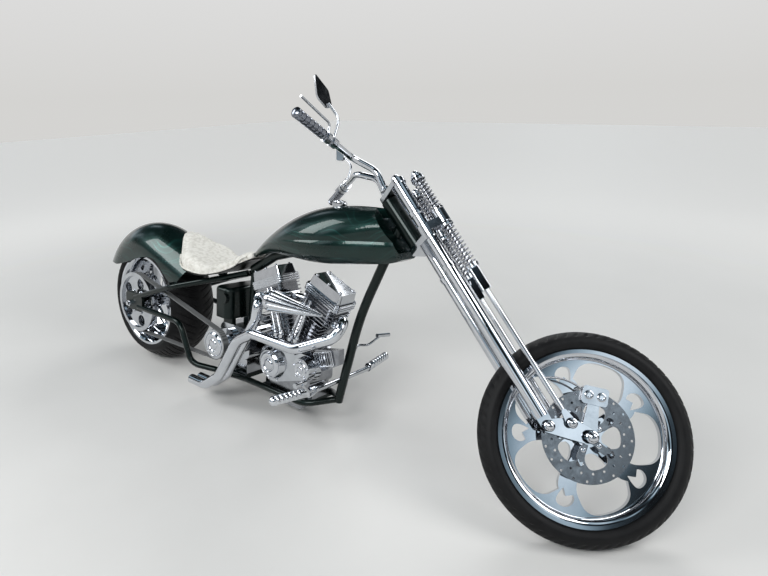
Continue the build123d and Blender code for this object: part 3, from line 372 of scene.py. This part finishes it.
def spread(pattern, name, places, body, material):
    # One finished copy of the pattern at each place, joined into one piece
    copies = []
    for index, place in enumerate(places):
        copy = bpy.data.objects.new(f"{name}{index}", pattern.data.copy())
        copy.data.transform(place)
        bpy.context.scene.collection.objects.link(copy)
        copies.append(copy)
    bpy.data.objects.remove(pattern)
    return finished(joined(copies, name), body, material)


def ringOf(centre, radius, across, angles):
    # Points round a circle that lies across the bike, at the given angles in degrees
    return [(centre[0] + radius * cos(radians(angle)), across, centre[1] + radius * sin(radians(angle)))
            for angle in angles]


def withSides(x, y, z):
    # The point on the right side of the bike and the one on its left
    return [(x, side * y, z) for side in (-1, 1)]


# The fork's legs lie a little off the steering's axis
legTilt = 1.4  # degrees
legPlace = forkPlace @ Matrix.Rotation(radians(legTilt), 4, "Y")
rearLeg = {"x": 0.046, "y": 0.086, "top": 0.078, "bands": (-0.075, -0.135, -0.300)}

# Tyres: a sheared grid is one pitch of the tread, spun round the axle
mergeReach = 0.00005  # Doubles within this reach are merged
frontTyre = {"radius": 0.345, "width": 0.096, "crown": 0.052, "lip": 0.281, "seat": 0.029, "bead": 0.267,
             "pitches": 60, "sweep": 0.75, "depth": 0.0032}
rearTyre = {"radius": 0.330, "width": 0.250, "crown": 0.150, "lip": 0.241, "seat": 0.108, "bead": 0.229,
            "pitches": 52, "sweep": 1.5, "depth": 0.0038}
# Both treads: shoulder as a share of the width, the shares of the half width between which it is cut, the blend
# at both ends of the cut, and the power that bends the grooves
tread = {"shoulder": 0.46, "from": 0.1, "to": 0.94, "blend": 0.08, "bend": 1.4}


def arcThrough(first, middle, last, count):
    # Evenly spaced points on the arc through three points
    (ax, ay), (bx, by), (cx, cy) = first, middle, last
    scale = 2 * (ax * (by - cy) + bx * (cy - ay) + cx * (ay - by))
    ux = ((ax**2 + ay**2) * (by - cy) + (bx**2 + by**2) * (cy - ay) + (cx**2 + cy**2) * (ay - by)) / scale
    uy = ((ax**2 + ay**2) * (cx - bx) + (bx**2 + by**2) * (ax - cx) + (cx**2 + cy**2) * (bx - ax)) / scale
    start = atan2(ay - uy, ax - ux)
    turn = atan2(cy - uy, cx - ux) - start
    middleTurn = (atan2(by - uy, bx - ux) - start) % (2 * pi)
    turn %= 2 * pi
    if middleTurn > turn:
        turn -= 2 * pi
    size = hypot(ax - ux, ay - uy)
    return [(ux + size * cos(start + turn * step / count), uy + size * sin(start + turn * step / count))
            for step in range(count + 1)]


def makeTyre(name, tyre, place, body, node):
    # Its section: bead, ribbed wall, crown, wall, bead
    shoulder = tread["shoulder"] * tyre["width"]
    shoulderRadius = tyre["radius"] - tyre["crown"] + sqrt(tyre["crown"] ** 2 - shoulder**2)
    half = tyre["width"] / 2
    wall = arcThrough((tyre["seat"], tyre["lip"]), (half, (shoulderRadius + tyre["lip"]) / 2),
                      (shoulder, shoulderRadius), 9)
    crown = arcThrough((shoulder, shoulderRadius), (0, tyre["radius"]), (-shoulder, shoulderRadius), 28)
    ribs = {2: 0.0009, 3: 0.0009, 6: 0.0012}  # Station on the wall: how far its rib stands out
    wall = [(across + ribs.get(index, 0.0), radius) for index, (across, radius) in enumerate(wall)]
    section = [(tyre["seat"], tyre["bead"])] + wall[:-1] + crown
    section += [(-across, radius) for across, radius in reversed(wall[:-1])] + [(-tyre["seat"], tyre["bead"])]
    # Share of a pitch, and whether the tread is cut there
    knots = ((0.0, 0), (0.3, 0), (0.37, 1), (0.55, 1), (0.62, 0), (1.0, 0))
    bpy.ops.object.select_all(action="DESELECT")
    bpy.ops.mesh.primitive_grid_add(x_subdivisions=len(section) - 1, y_subdivisions=len(knots) - 1, size=2)
    piece = bpy.context.object
    piece.name = name
    piece.data.name = name
    pitch = 2 * pi / tyre["pitches"]
    for vertex in piece.data.vertices:
        column = round((vertex.co.x + 1) / 2 * (len(section) - 1))
        row = round((vertex.co.y + 1) / 2 * (len(knots) - 1))
        across, radius = section[column]
        share, cut = knots[row]
        side = min(1.0, abs(across) / shoulder)
        onCrown = radius >= shoulderRadius - 0.0005
        edge = (min(1.0, max(0.0, (side - tread["from"]) / tread["blend"]))
                * min(1.0, max(0.0, (tread["to"] - side) / tread["blend"])))
        radius -= tyre["depth"] * cut * edge * onCrown
        angle = pitch * (share + tyre["sweep"] * side ** tread["bend"])
        vertex.co = (radius * cos(angle), across, radius * sin(angle))
    pickOnly(piece)
    bpy.ops.object.mode_set(mode="EDIT")
    bpy.ops.mesh.select_all(action="SELECT")
    bpy.ops.mesh.spin(steps=tyre["pitches"], dupli=True, angle=2 * pi, center=(0, 0, 0), axis=(0, 1, 0))
    bpy.ops.object.mode_set(mode="OBJECT")
    mended(piece, mergeReach)
    piece.data.transform(place)
    finished(piece, body, tyreRubber, 50.0)
    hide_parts(node)


makeTyre("frontTyreTread", frontTyre, wheelPlace, "front_wheel_set", "front_tyre")
makeTyre("rearTyreTread", rearTyre, bikePlace, "rear_wheel_set", "rear_tyre")
print("tyres made")

# Seat: the pad's own shape, remeshed, blown up softly as cloth, and smoothed; faces that look down stay on the pan
seat = {"voxel": 0.006, "pressure": 4.0, "frames": 20, "cap": 0.009, "smooth": 8, "downFrom": -0.25, "downBlend": 0.3}
seatPad = bpy.data.objects.new("seatCover", frame["nodes"]["seat_pad"].data.copy())
bpy.context.scene.collection.objects.link(seatPad)
mended(seatPad, mergeReach)
remesh = seatPad.modifiers.new("remesh", "REMESH")
remesh.mode = "VOXEL"
remesh.voxel_size = seat["voxel"]
soften = seatPad.modifiers.new("soften", "SMOOTH")
soften.factor = 0.5
soften.iterations = seat["smooth"]
applied(seatPad)
startPoints = [vertex.co.copy() for vertex in seatPad.data.vertices]
startFacing = [vertex.normal.z for vertex in seatPad.data.vertices]
cloth = seatPad.modifiers.new("cloth", "CLOTH")
cloth.settings.use_pressure = True
cloth.settings.uniform_pressure_force = seat["pressure"]
cloth.settings.effector_weights.gravity = 0.0
cloth.settings.quality = 4
for frameNumber in range(1, seat["frames"] + 1):
    bpy.context.scene.frame_set(frameNumber)
applied(seatPad)
for vertex, start, facing in zip(seatPad.data.vertices, startPoints, startFacing):
    move = vertex.co - start
    share = min(1.0, max(0.0, (facing - seat["downFrom"]) / seat["downBlend"]))
    if move.length > seat["cap"]:
        move *= seat["cap"] / move.length
    vertex.co = start + move * share
bpy.context.scene.frame_set(1)
subdivide = seatPad.modifiers.new("subdivide", "SUBSURF")
subdivide.levels = 1
subdivide.render_levels = 1
applied(seatPad)
finished(seatPad, "chassis", seatLeather, 180.0)
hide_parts("seat_pad")

# Its welt: a round cord sewn along the pad's widest line, found station by station on the CAD pad
welt = {"radius": 0.0042, "proud": 0.0005, "from": 0.305, "to": 0.745, "stations": 34, "rise": 0.006}
padPoints = [bikePlace.inverted() @ vertex.co for vertex in frame["nodes"]["seat_pad"].data.vertices]
weltSide = []
for station in range(welt["stations"]):
    along = welt["from"] + (welt["to"] - welt["from"]) * station / (welt["stations"] - 1)
    near = [point for point in padPoints if abs(point.x - along) < 0.014 and point.y > 0]
    widest = max(point.y for point in near)
    low = min(point.z for point in near if point.y > widest - 0.002)
    weltSide.append((along, widest + welt["proud"], low + welt["rise"]))
for smoothing in range(3):
    weltSide = [weltSide[0]] + [tuple((a + 2 * b + c) / 4 for a, b, c in zip(*trio))
                                for trio in zip(weltSide, weltSide[1:], weltSide[2:])] + [weltSide[-1]]
weltLine = bpy.data.curves.new("seatWelt", "CURVE")
weltLine.dimensions = "3D"
for side in (-1, 1):
    weltSpline = weltLine.splines.new("NURBS")
    weltSpline.points.add(len(weltSide) - 1)
    for point, (along, across, high) in zip(weltSpline.points, weltSide):
        point.co = (*(bikePlace @ Vector((along, across * side, high))), 1.0)
    weltSpline.order_u = 4
    weltSpline.use_endpoint_u = True
    weltSpline.resolution_u = 4
weltLine.bevel_depth = welt["radius"]
weltLine.bevel_resolution = 3
weltLine.use_fill_caps = True
weltPiece = bpy.data.objects.new("seatWelt", weltLine)
bpy.context.scene.collection.objects.link(weltPiece)
pickOnly(weltPiece)
bpy.ops.object.convert(target="MESH")
finished(bpy.context.object, "chassis", seatLeather, 60.0)
print("seat made")

# Grips with rings, and their end caps
grip = {"end": (-0.159, 0.368, 0.332), "inner": (-0.041, 0.067, 0.250), "length": 0.152, "rings": 6}
gripProfile = [(0.0, -0.006), (0.008, -0.0055), (0.0145, -0.003), (0.0185, 0.001), (0.0185, 0.007),
               (0.0155, 0.009), (0.0155, 0.012)]
ringStep = (grip["length"] - 0.02) / grip["rings"]
for index in range(grip["rings"]):
    base = 0.014 + ringStep * index
    gripProfile += [(0.0178, base), (0.0182, base + 0.003), (0.0182, base + ringStep - 0.008),
                    (0.0178, base + ringStep - 0.005), (0.0152, base + ringStep - 0.004),
                    (0.0152, base + ringStep - 0.001)]
gripProfile += [(0.0178, grip["length"] - 0.004), (0.0178, grip["length"]), (0.0132, grip["length"])]
gripPlaces = []
for end, inner in zip(withSides(*grip["end"]), withSides(*grip["inner"])):
    gripPlaces.append(aimed(forkPlace, end, Vector(inner) - Vector(end)))
gripPiece = spread(turned("gripPattern", gripProfile, 40), "ringedGrips", gripPlaces, "steering", gripFinish)
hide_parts("grips")
print("grips made")

# Fork springs: a round wire wound up by a screw
springs = {"x": 0.115, "y": 0.080, "coil": 0.020, "wire": 0.0034,
           "levels": ((-0.094, 0.048, 9), (-0.330, -0.1503, 11))}
coils = []
for low, high, turns in springs["levels"]:
    for side in (-1, 1):
        bpy.ops.object.select_all(action="DESELECT")
        bpy.ops.mesh.primitive_circle_add(vertices=10, radius=springs["wire"], rotation=(pi / 2, 0, 0))
        coil = bpy.context.object
        bpy.ops.object.transform_apply(location=True, rotation=True, scale=True)
        coil.data.transform(Matrix.Translation((springs["coil"], 0, 0)))
        wind = coil.modifiers.new("wind", "SCREW")
        wind.angle = 2 * pi
        wind.iterations = turns
        wind.screw_offset = (high - low - 2 * springs["wire"]) / turns
        wind.steps = 26
        wind.render_steps = 26
        wind.use_normal_calculate = True
        applied(coil)
        base = (springs["x"], side * springs["y"], low + springs["wire"])
        coil.data.transform(legPlace @ Matrix.Translation(base))
        coils.append(coil)
springPiece = joined(coils, "forkCoils")
mended(springPiece)
finished(springPiece, "steering", springSteel, 60.0)
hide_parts("fork_springs")
print("springs made")

# Acorn nuts: fork pivots, axle ends, rocker boxes, covers
acorn = [(0.0, 0.0125), (0.004, 0.0122), (0.0075, 0.0105), (0.0095, 0.0075), (0.0102, 0.004), (0.0118, 0.0035),
         (0.0118, 0.001), (0.0135, 0.0008), (0.0135, 0.0)]


def nutRow(name, factor, places, body):
    pattern = turned(name + "Pattern", [(radius * factor, height * factor) for radius, height in acorn], 24)
    spread(pattern, name, places, body, chrome)


outward = ((0, -1, 0), (0, 1, 0))
upward = ((0, 0, 1),) * 3
for name, factor, place, spots, directions in (
    # name, size, frame of the places, places, where the nuts point
    ("legPivotNuts", 1.35, legPlace, withSides(0.046, 0.112, -0.895), outward),
    ("springPivotNuts", 1.25, legPlace, withSides(0.115, 0.100, -0.924), outward),
    ("frontAxleNuts", 1.6, forkPlace, withSides(0.120, 0.100, -0.992), outward),
    ("legTopCaps", 1.75, legPlace,
     withSides(rearLeg["x"], rearLeg["y"], rearLeg["top"]) + [(0.0, 0.0, rearLeg["top"])], upward),
    ("springTopCaps", 1.5, legPlace, withSides(springs["x"], springs["y"], 0.0620), upward),
):
    nutRow(name, factor, [aimed(place, spot, direction) for spot, direction in zip(spots, directions)], "steering")


engine = {"crank": (1.050, 0, -0.140), "veeHalf": 22.5}


def bankPlace(side):
    # A barrel's own frame, up from the crank; side is -1 for the rear one, 1 for the front one
    tilt = radians(engine["veeHalf"] * side)
    return bikePlace @ placeFrom(engine["crank"], (cos(tilt), 0, -sin(tilt)), (0, 1, 0), (sin(tilt), 0, cos(tilt)))


# Nuts on the rocker boxes, the cam cover and its nose
boxNuts = {"along": (-0.070, 0.0, 0.070), "across": (-0.040, 0.040), "height": 0.490}
rockerPlaces = [aimed(bankPlace(side), (along, across, boxNuts["height"]), (0, 0, 1))
                for side in (-1, 1) for along in boxNuts["along"] for across in boxNuts["across"]]
nutRow("rockerNuts", 0.62, rockerPlaces, "chassis")
camSpots = ringOf((0.988, -0.080), 0.082, -0.0965, [70 + 220 / 6 * index for index in range(7)])
noseSpots = ringOf((1.190, -0.046), 0.040, -0.1350, [18 + 72 * index for index in range(5)])
nutRow("coverNuts", 0.55, [aimed(bikePlace, spot, (0, -1, 0)) for spot in camSpots + noseSpots], "chassis")

# Low button heads on the brake discs, and nuts on the pulley
buttonLine = ((0.0, 0.0017), (0.0028, 0.0016), (0.0030, 0.0006), (0.0034, 0.0006), (0.0036, 0.0016),
              (0.0058, 0.0013), (0.0072, 0.0006), (0.0078, 0.0), (0.0078, -0.0006))
for name, place, body, face, radius in (
    # name, frame, body, the disc's outer face, circle of the bolts
    ("frontDiscBolts", wheelPlace, "front_wheel_set", -0.055, 0.044),
    ("rearDiscBolts", bikePlace, "rear_wheel_set", 0.079, 0.052),
):
    spots = ringOf((0, 0), radius, face, [72 * index for index in range(5)])
    spread(turned(name + "Pattern", buttonLine, 24), name,
           [aimed(place, spot, (0, face, 0)) for spot in spots], body, chrome)
pulleySpots = ringOf((0, 0), 0.062, -0.1558, [60 * index for index in range(6)])
nutRow("pulleyNuts", 0.75, [aimed(bikePlace, spot, (0, -1, 0)) for spot in pulleySpots], "rear_wheel_set")

# Piston caps on the calipers
calipers = {"reach": 0.130, "apart": 0.040}
pistonLine = ((0.0, 0.0022), (0.0060, 0.0022), (0.0078, 0.0042), (0.0112, 0.0046), (0.0135, 0.0034),
              (0.0142, 0.0010), (0.0150, 0.0004), (0.0150, -0.0006))
for name, place, body, outer, angle in (
    # name, frame, body, the caliper's outer face, its angle round the axle
    ("frontPistons", wheelPlace, "steering", -0.0694, radians(46)),
    ("rearPistons", bikePlace, "chassis", 0.0934, radians(120)),
):
    spots = [(calipers["reach"] * cos(angle) + shift * sin(angle), outer,
              calipers["reach"] * sin(angle) - shift * cos(angle))
             for shift in (-calipers["apart"] / 2, calipers["apart"] / 2)]
    spread(turned(name + "Pattern", pistonLine, 32), name,
           [aimed(place, spot, (0, outer, 0)) for spot in spots], body, chrome)
print("nuts made")

# Turned covers: the cam cover's two caps, the drive pulley's cap, the clutch and generator covers
covers = (
    # name, place, outward side, radius, proud
    ("camCap", (0.988, -0.1205, -0.080), -1, 0.058, 0.013),
    ("noseCap", (1.190, -0.1345, -0.046), -1, 0.034, 0.008),
    ("pulleyCap", (0.657, -0.1643, -0.065), -1, 0.058, 0.012),
    ("clutchCap", (0.700, 0.1575, -0.070), 1, 0.078, 0.010),
    ("generatorCap", (1.050, 0.1575, -0.134), 1, 0.044, 0.008),
)
coverLine = ((0.0, 1.0), (0.20, 0.98), (0.34, 0.86), (0.42, 0.62), (0.46, 0.34), (0.52, 0.30), (0.56, 0.52),
             (0.62, 0.70), (0.80, 0.72), (0.88, 0.60), (0.93, 0.30), (0.955, 0.24), (0.97, 0.30), (0.99, 0.22),
             (1.0, -0.25))
for name, base, side, radius, proud in covers:
    spread(turned(name + "Pattern", [(across * radius, high * proud) for across, high in coverLine], 48), name,
           [aimed(bikePlace, base, (0, side, 0))], "chassis", chrome)
clutchSpots = ringOf((0.700, -0.070), 0.090, 0.1545, [60 * index + 30 for index in range(6)])
nutRow("clutchNuts", 0.5, [aimed(bikePlace, spot, (0, 1, 0)) for spot in clutchSpots], "chassis")
print("covers made")


def oblongRing(name, length, width, corner, wide, thick):
    # A flat oblong with round corners, opened by an inset, then thickened and its edges eased
    bpy.ops.object.select_all(action="DESELECT")
    bpy.ops.mesh.primitive_plane_add(size=1)
    piece = bpy.context.object
    piece.name = name
    piece.scale = (length, width, 1)
    bpy.ops.object.transform_apply(location=True, rotation=True, scale=True)
    bpy.ops.object.mode_set(mode="EDIT")
    bpy.ops.mesh.select_mode(type="VERT")
    bpy.ops.mesh.select_all(action="SELECT")
    bpy.ops.mesh.bevel(offset=corner, segments=6, affect="VERTICES")
    bpy.ops.mesh.select_mode(type="FACE")
    bpy.ops.mesh.select_all(action="SELECT")
    bpy.ops.mesh.inset(thickness=wide)
    bpy.ops.mesh.delete(type="FACE")
    bpy.ops.mesh.select_mode(type="VERT")
    bpy.ops.object.mode_set(mode="OBJECT")
    body = piece.modifiers.new("body", "SOLIDIFY")
    body.thickness = thick
    body.offset = 1.0
    ease = piece.modifiers.new("ease", "BEVEL")
    ease.width = min(wide, thick) * 0.3
    ease.segments = 2
    ease.limit_method = "ANGLE"
    applied(piece)
    return piece


# Rocker boxes: raised rails round the sides, at three levels
rail = {"length": 0.202, "width": 0.130, "corner": 0.019, "wide": 0.0058, "thick": 0.0046}
railLevels = (0.4165, 0.4265, 0.4365)
spread(oblongRing("railPattern", **rail), "boxRails",
       [bankPlace(side) @ Matrix.Translation((0, 0, level)) for side in (-1, 1) for level in railLevels],
       "chassis", chrome)

# Regulator at the engine's front: a framed window with three bowed bars over a dark back
regulator = {"centre": (1.262, -0.0720, 0.006), "along": (0.945, 0.0, 0.327), "bars": (-0.030, 0.0, 0.030)}
window = {"length": 0.104, "width": 0.066, "corner": 0.008, "wide": 0.0058, "thick": 0.0062}
bar = {"length": 0.024, "width": 0.058, "corner": 0.006, "wide": 0.0050, "thick": 0.0048}
alongBox = Vector(regulator["along"]).normalized()
regulatorPlace = bikePlace @ placeFrom(regulator["centre"], alongBox, Vector((0, -1, 0)).cross(alongBox), (0, -1, 0))
spread(oblongRing("windowPattern", **window), "regulatorFrame", [regulatorPlace], "chassis", chrome)
spread(oblongRing("barPattern", **bar), "regulatorBars",
       [regulatorPlace @ Matrix.Translation((shift, 0, 0)) for shift in regulator["bars"]],
       "chassis", polished)
print("engine trim made")


def collars(name, radius, thick, height, places, body):
    # Rings with rounded rims, slightly waisted, round a tube of the radius
    line = ((radius - 0.0006, 0.0), (radius + 0.7 * thick, 0.0004), (radius + thick, 0.0022),
            (radius + 0.92 * thick, height / 2), (radius + thick, height - 0.0022),
            (radius + 0.7 * thick, height - 0.0004), (radius - 0.0006, height))
    spread(turned(name + "Pattern", line, 36), name, places, body, chrome)


# Fork trim: bands on the rear legs, cups at the springs' ends, collars where the bars leave the top tree
bandPlaces = [aimed(legPlace, (rearLeg["x"], side * rearLeg["y"], low), (0, 0, 1))
              for side in (-1, 1) for low in rearLeg["bands"]]
collars("legBands", 0.0230, 0.0040, 0.020, bandPlaces, "steering")
cupLine = ((0.0100, -0.0012), (0.0236, -0.0012), (0.0258, 0.0010), (0.0262, 0.0080), (0.0252, 0.0090),
           (0.0244, 0.0080), (0.0240, 0.0016), (0.0100, 0.0010))
cupPlaces = [aimed(legPlace, (springs["x"], side * springs["y"], level), (0, 0, turn))
             for side in (-1, 1) for low, high, turns in springs["levels"] for level, turn in ((low, 1), (high, -1))]
spread(turned("cupPattern", cupLine, 40), "springCups", cupPlaces, "steering", chrome)
collars("barCollars", 0.0127, 0.0055, 0.016,
        [aimed(forkPlace, (0.0010, side * 0.038, 0.0815), (0.0138, -side * 0.004, 0.0904)) for side in (-1, 1)],
        "steering")
print("fork trim made")

# Engine collars: the pushrod tubes' ends, the exhaust flanges
rods = {"footSide": -0.105, "footHigh": 0.057, "topSide": -0.080, "top": 0.400, "collarShares": (0.045, 0.80)}
rodPlaces = []
for x, side, along in ((1.008, -1, 0.026), (1.040, -1, 0.052), (1.094, 1, -0.052), (1.126, 1, -0.026)):
    # The foot's place along the bike, the bank, the top's place along the head
    foot = Vector((x, rods["footSide"], rods["footHigh"]))
    top = bikePlace.inverted() @ bankPlace(side) @ Vector((along, 0, rods["top"]))
    run = Vector((top.x, rods["topSide"], top.z)) - foot
    rodPlaces += [aimed(bikePlace, foot + run * share, run) for share in rods["collarShares"]]
collars("rodCollars", 0.0080, 0.0042, 0.014, rodPlaces, "chassis")
ports = (((1.296, -0.044, 0.152), (1.396, -0.060, 0.256)), ((0.868, -0.072, 0.182), (0.945, -0.152, 0.200)))
portPlaces = [aimed(bikePlace, base, Vector(toward) - Vector(base)) for base, toward in ports]
collars("pipeFlanges", 0.0225, 0.0075, 0.010, portPlaces, "chassis")
# Fuel cap: its turned top
capLine = ((0.0, 0.0085), (0.0080, 0.0080), (0.0150, 0.0060), (0.0165, 0.0030), (0.0190, 0.0026), (0.0230, 0.0045),
           (0.0262, 0.0040), (0.0275, 0.0015), (0.0275, -0.0010))
spread(turned("capPattern", capLine, 40), "fuelCapTop", [aimed(bikePlace, (1.240, 0.0, 0.646), (0, 0, 1))],
       "chassis", chrome)
print("collars made")

# Foot pegs: rings and a pointed tip on each
peg = {"start": (1.292, 0.192, -0.092), "end": (1.269, 0.350, -0.086), "rings": 6, "ringFrom": 0.035}
pegLength = (Vector(peg["end"]) - Vector(peg["start"])).length
pegProfile = [(0.0155, 0.004), (0.0185, 0.006), (0.0185, 0.014), (0.0155, 0.016)]
ringStep = (pegLength - peg["ringFrom"]) / peg["rings"]
for index in range(peg["rings"]):
    base = peg["ringFrom"] + ringStep * index
    pegProfile += [(0.0153, base), (0.0185, base + 0.003), (0.0195, base + ringStep * 0.5),
                   (0.0185, base + ringStep - 0.004), (0.0153, base + ringStep - 0.001)]
pegProfile += [(0.0185, pegLength + 0.001), (0.0190, pegLength + 0.006), (0.0150, pegLength + 0.013),
               (0.0065, pegLength + 0.020), (0.0, pegLength + 0.0215)]
pegPlaces = []
for start, end in zip(withSides(*peg["start"]), withSides(*peg["end"])):
    pegPlaces.append(aimed(bikePlace, start, Vector(end) - Vector(start)))
spread(turned("pegPattern", pegProfile, 32), "pegSleeves", pegPlaces, "chassis", chrome)
print("pegs made")

# Brake hose: one smooth curve led by the route's points; its arc is shorter than the line through them
hose = {"points": ((0.196, -0.060, -0.884), (0.176, -0.060, -0.796), (0.098, -0.080, -0.766)), "diameter": 0.007,
        "arcShare": 0.92}
hoseLine = bpy.data.curves.new("brakeLine", "CURVE")
hoseLine.dimensions = "3D"
spline = hoseLine.splines.new("NURBS")
spline.points.add(len(hose["points"]) - 1)
for point, spot in zip(spline.points, hose["points"]):
    point.co = (*(forkPlace @ Vector(spot)), 1.0)
spline.order_u = 3
spline.use_endpoint_u = True
spline.resolution_u = 24
hoseLine.bevel_depth = hose["diameter"] / 2
hoseLine.bevel_resolution = 4
hosePiece = bpy.data.objects.new("brakeLine", hoseLine)
bpy.context.scene.collection.objects.link(hosePiece)
hoseLine.materials.append(discSteel)
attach(hosePiece, "steering")
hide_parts("brake_hose")
print("hose made")

# Floor: pale, with a glow far away that meets the sky's colour at the horizon
studio = {"floor": (0.66, 0.65, 0.63), "worn": (0.69, 0.68, 0.66), "glow": (1.0, 0.985, 0.96), "farGlow": 0.525,
          "glowFrom": 1.2, "glowFull": 6.0, "skyLow": (0.66, 0.655, 0.64), "skyHigh": (0.74, 0.74, 0.74),
          "panelsFrom": 0.17, "panelsFull": 0.26}
bpy.ops.object.select_all(action="DESELECT")
bpy.ops.mesh.primitive_plane_add(size=40, location=(0, 0, 0))
floor = bpy.context.object
floor.name = "floor"
floorMaterial, floorTree, floorShader, floorVector = startMaterial("paleFloor")
floorMarks = marks(floorTree, floorVector, 0.45, 0.6, 2.0)
floorTree.links.new(mixNode(floorTree, floorMarks.outputs["Mask"], studio["floor"], studio["worn"]),
                    floorShader.inputs["Base Color"])
floorTree.links.new(floorMarks.outputs["Roughness"], floorShader.inputs["Roughness"])
floorReach = floorTree.nodes.new("ShaderNodeVectorMath")
floorReach.operation = "LENGTH"
floorTree.links.new(floorVector, floorReach.inputs[0])
farAway = floorTree.nodes.new("ShaderNodeMapRange")
farAway.interpolation_type = "SMOOTHERSTEP"
for socket, value in zip(farAway.inputs[1:5], (studio["glowFrom"], studio["glowFull"], 0.0, studio["farGlow"])):
    socket.default_value = value
floorTree.links.new(floorReach.outputs["Value"], farAway.inputs[0])
floorShader.inputs["Emission Color"].default_value = (*studio["glow"], 1.0)
floorRays = floorTree.nodes.new("ShaderNodeLightPath")
floorSeen = floorRays.outputs["Is Camera Ray"]
for label in ("Is Glossy Ray", "Is Transmission Ray"):
    floorSeen = mathNode(floorTree, "MAXIMUM", floorSeen, floorRays.outputs[label])
floorTree.links.new(mathNode(floorTree, "MULTIPLY", farAway.outputs[0], floorSeen),
                    floorShader.inputs["Emission Strength"])
floor.data.materials.append(floorMaterial)

# Sky: pale low down, and dark and bright panels higher up for the chrome to mirror
world = bpy.data.worlds.new("studio")
bpy.context.scene.world = world
world.use_nodes = True
sky = world.node_tree
skyCoordinates = sky.nodes.new("ShaderNodeTexCoord")
skySplit = sky.nodes.new("ShaderNodeSeparateXYZ")
sky.links.new(skyCoordinates.outputs["Generated"], skySplit.inputs[0])
skyHorizon = rampNode(sky, skySplit.outputs[2], [(0.0, studio["skyLow"]), (0.2, studio["skyHigh"])])
skyPanels = rampNode(sky, noiseNode(sky, skyCoordinates.outputs["Generated"], 2.6, 1.0).outputs[0], [
    (0.44, (0.008, 0.009, 0.010)), (0.54, (0.05, 0.07, 0.085)), (0.60, (0.34, 0.46, 0.54)),
    (0.72, (1.25, 1.4, 1.5))])
skyUp = sky.nodes.new("ShaderNodeMapRange")
skyUp.inputs[1].default_value = studio["panelsFrom"]
skyUp.inputs[2].default_value = studio["panelsFull"]
sky.links.new(skySplit.outputs[2], skyUp.inputs[0])
sky.links.new(mixNode(sky, skyUp.outputs[0], skyHorizon, skyPanels), sky.nodes["Background"].inputs[0])
sky.nodes["Background"].inputs[1].default_value = 1.0

# Softboxes
lamps = (
    # place, aim, width, height, power
    ((0.6, -3.2, 3.2), (0.1, 0.0, 0.5), 2.6, 1.2, 100.0),
    ((3.4, 0.6, 2.8), (0.6, 0.0, 0.5), 1.6, 2.4, 60.0),
    ((-2.6, -1.6, 2.9), (-0.4, 0.0, 0.5), 1.2, 2.2, 55.0),
    ((-0.5, 3.0, 3.0), (0.0, 0.0, 0.4), 3.0, 1.2, 60.0),
)
for index, (place, aim, width, height, power) in enumerate(lamps):
    lamp = bpy.data.lights.new(f"softbox{index}", "AREA")
    lamp.shape = "RECTANGLE"
    lamp.size = width
    lamp.size_y = height
    lamp.energy = power
    holder = bpy.data.objects.new(f"softbox{index}", lamp)
    holder.location = place
    holder.rotation_euler = (Vector(aim) - Vector(place)).to_track_quat("-Z", "Y").to_euler()
    bpy.context.scene.collection.objects.link(holder)

# The photograph's camera, fitted from the wheels: place relative to the rear axle, heading, tilt, roll
view = {"place": (2.66249, -1.5094, 1.05129), "heading": 126.98, "tilt": -20.12, "roll": 1.35, "lens": 25.3125}
heading, tilt, roll = (radians(view[key]) for key in ("heading", "tilt", "roll"))
ahead = Vector((cos(tilt) * cos(heading), cos(tilt) * sin(heading), sin(tilt)))
right = ahead.cross(Vector((0, 0, 1))).normalized()
down = ahead.cross(right)
rolledRight = right * cos(roll) + down * sin(roll)
rolledDown = down * cos(roll) - right * sin(roll)
lens = bpy.data.cameras.new("camera")
lens.lens = view["lens"]
lens.sensor_width = 36.0
lens.sensor_fit = "HORIZONTAL"
camera = bpy.data.objects.new("camera", lens)
camera.matrix_world = placeFrom(Vector(view["place"]) + bikePlace.translation, rolledRight, -rolledDown, -ahead)
bpy.context.scene.collection.objects.link(camera)
bpy.context.scene.camera = camera
bpy.context.scene.view_settings.view_transform = "Standard"
print("studio ready")
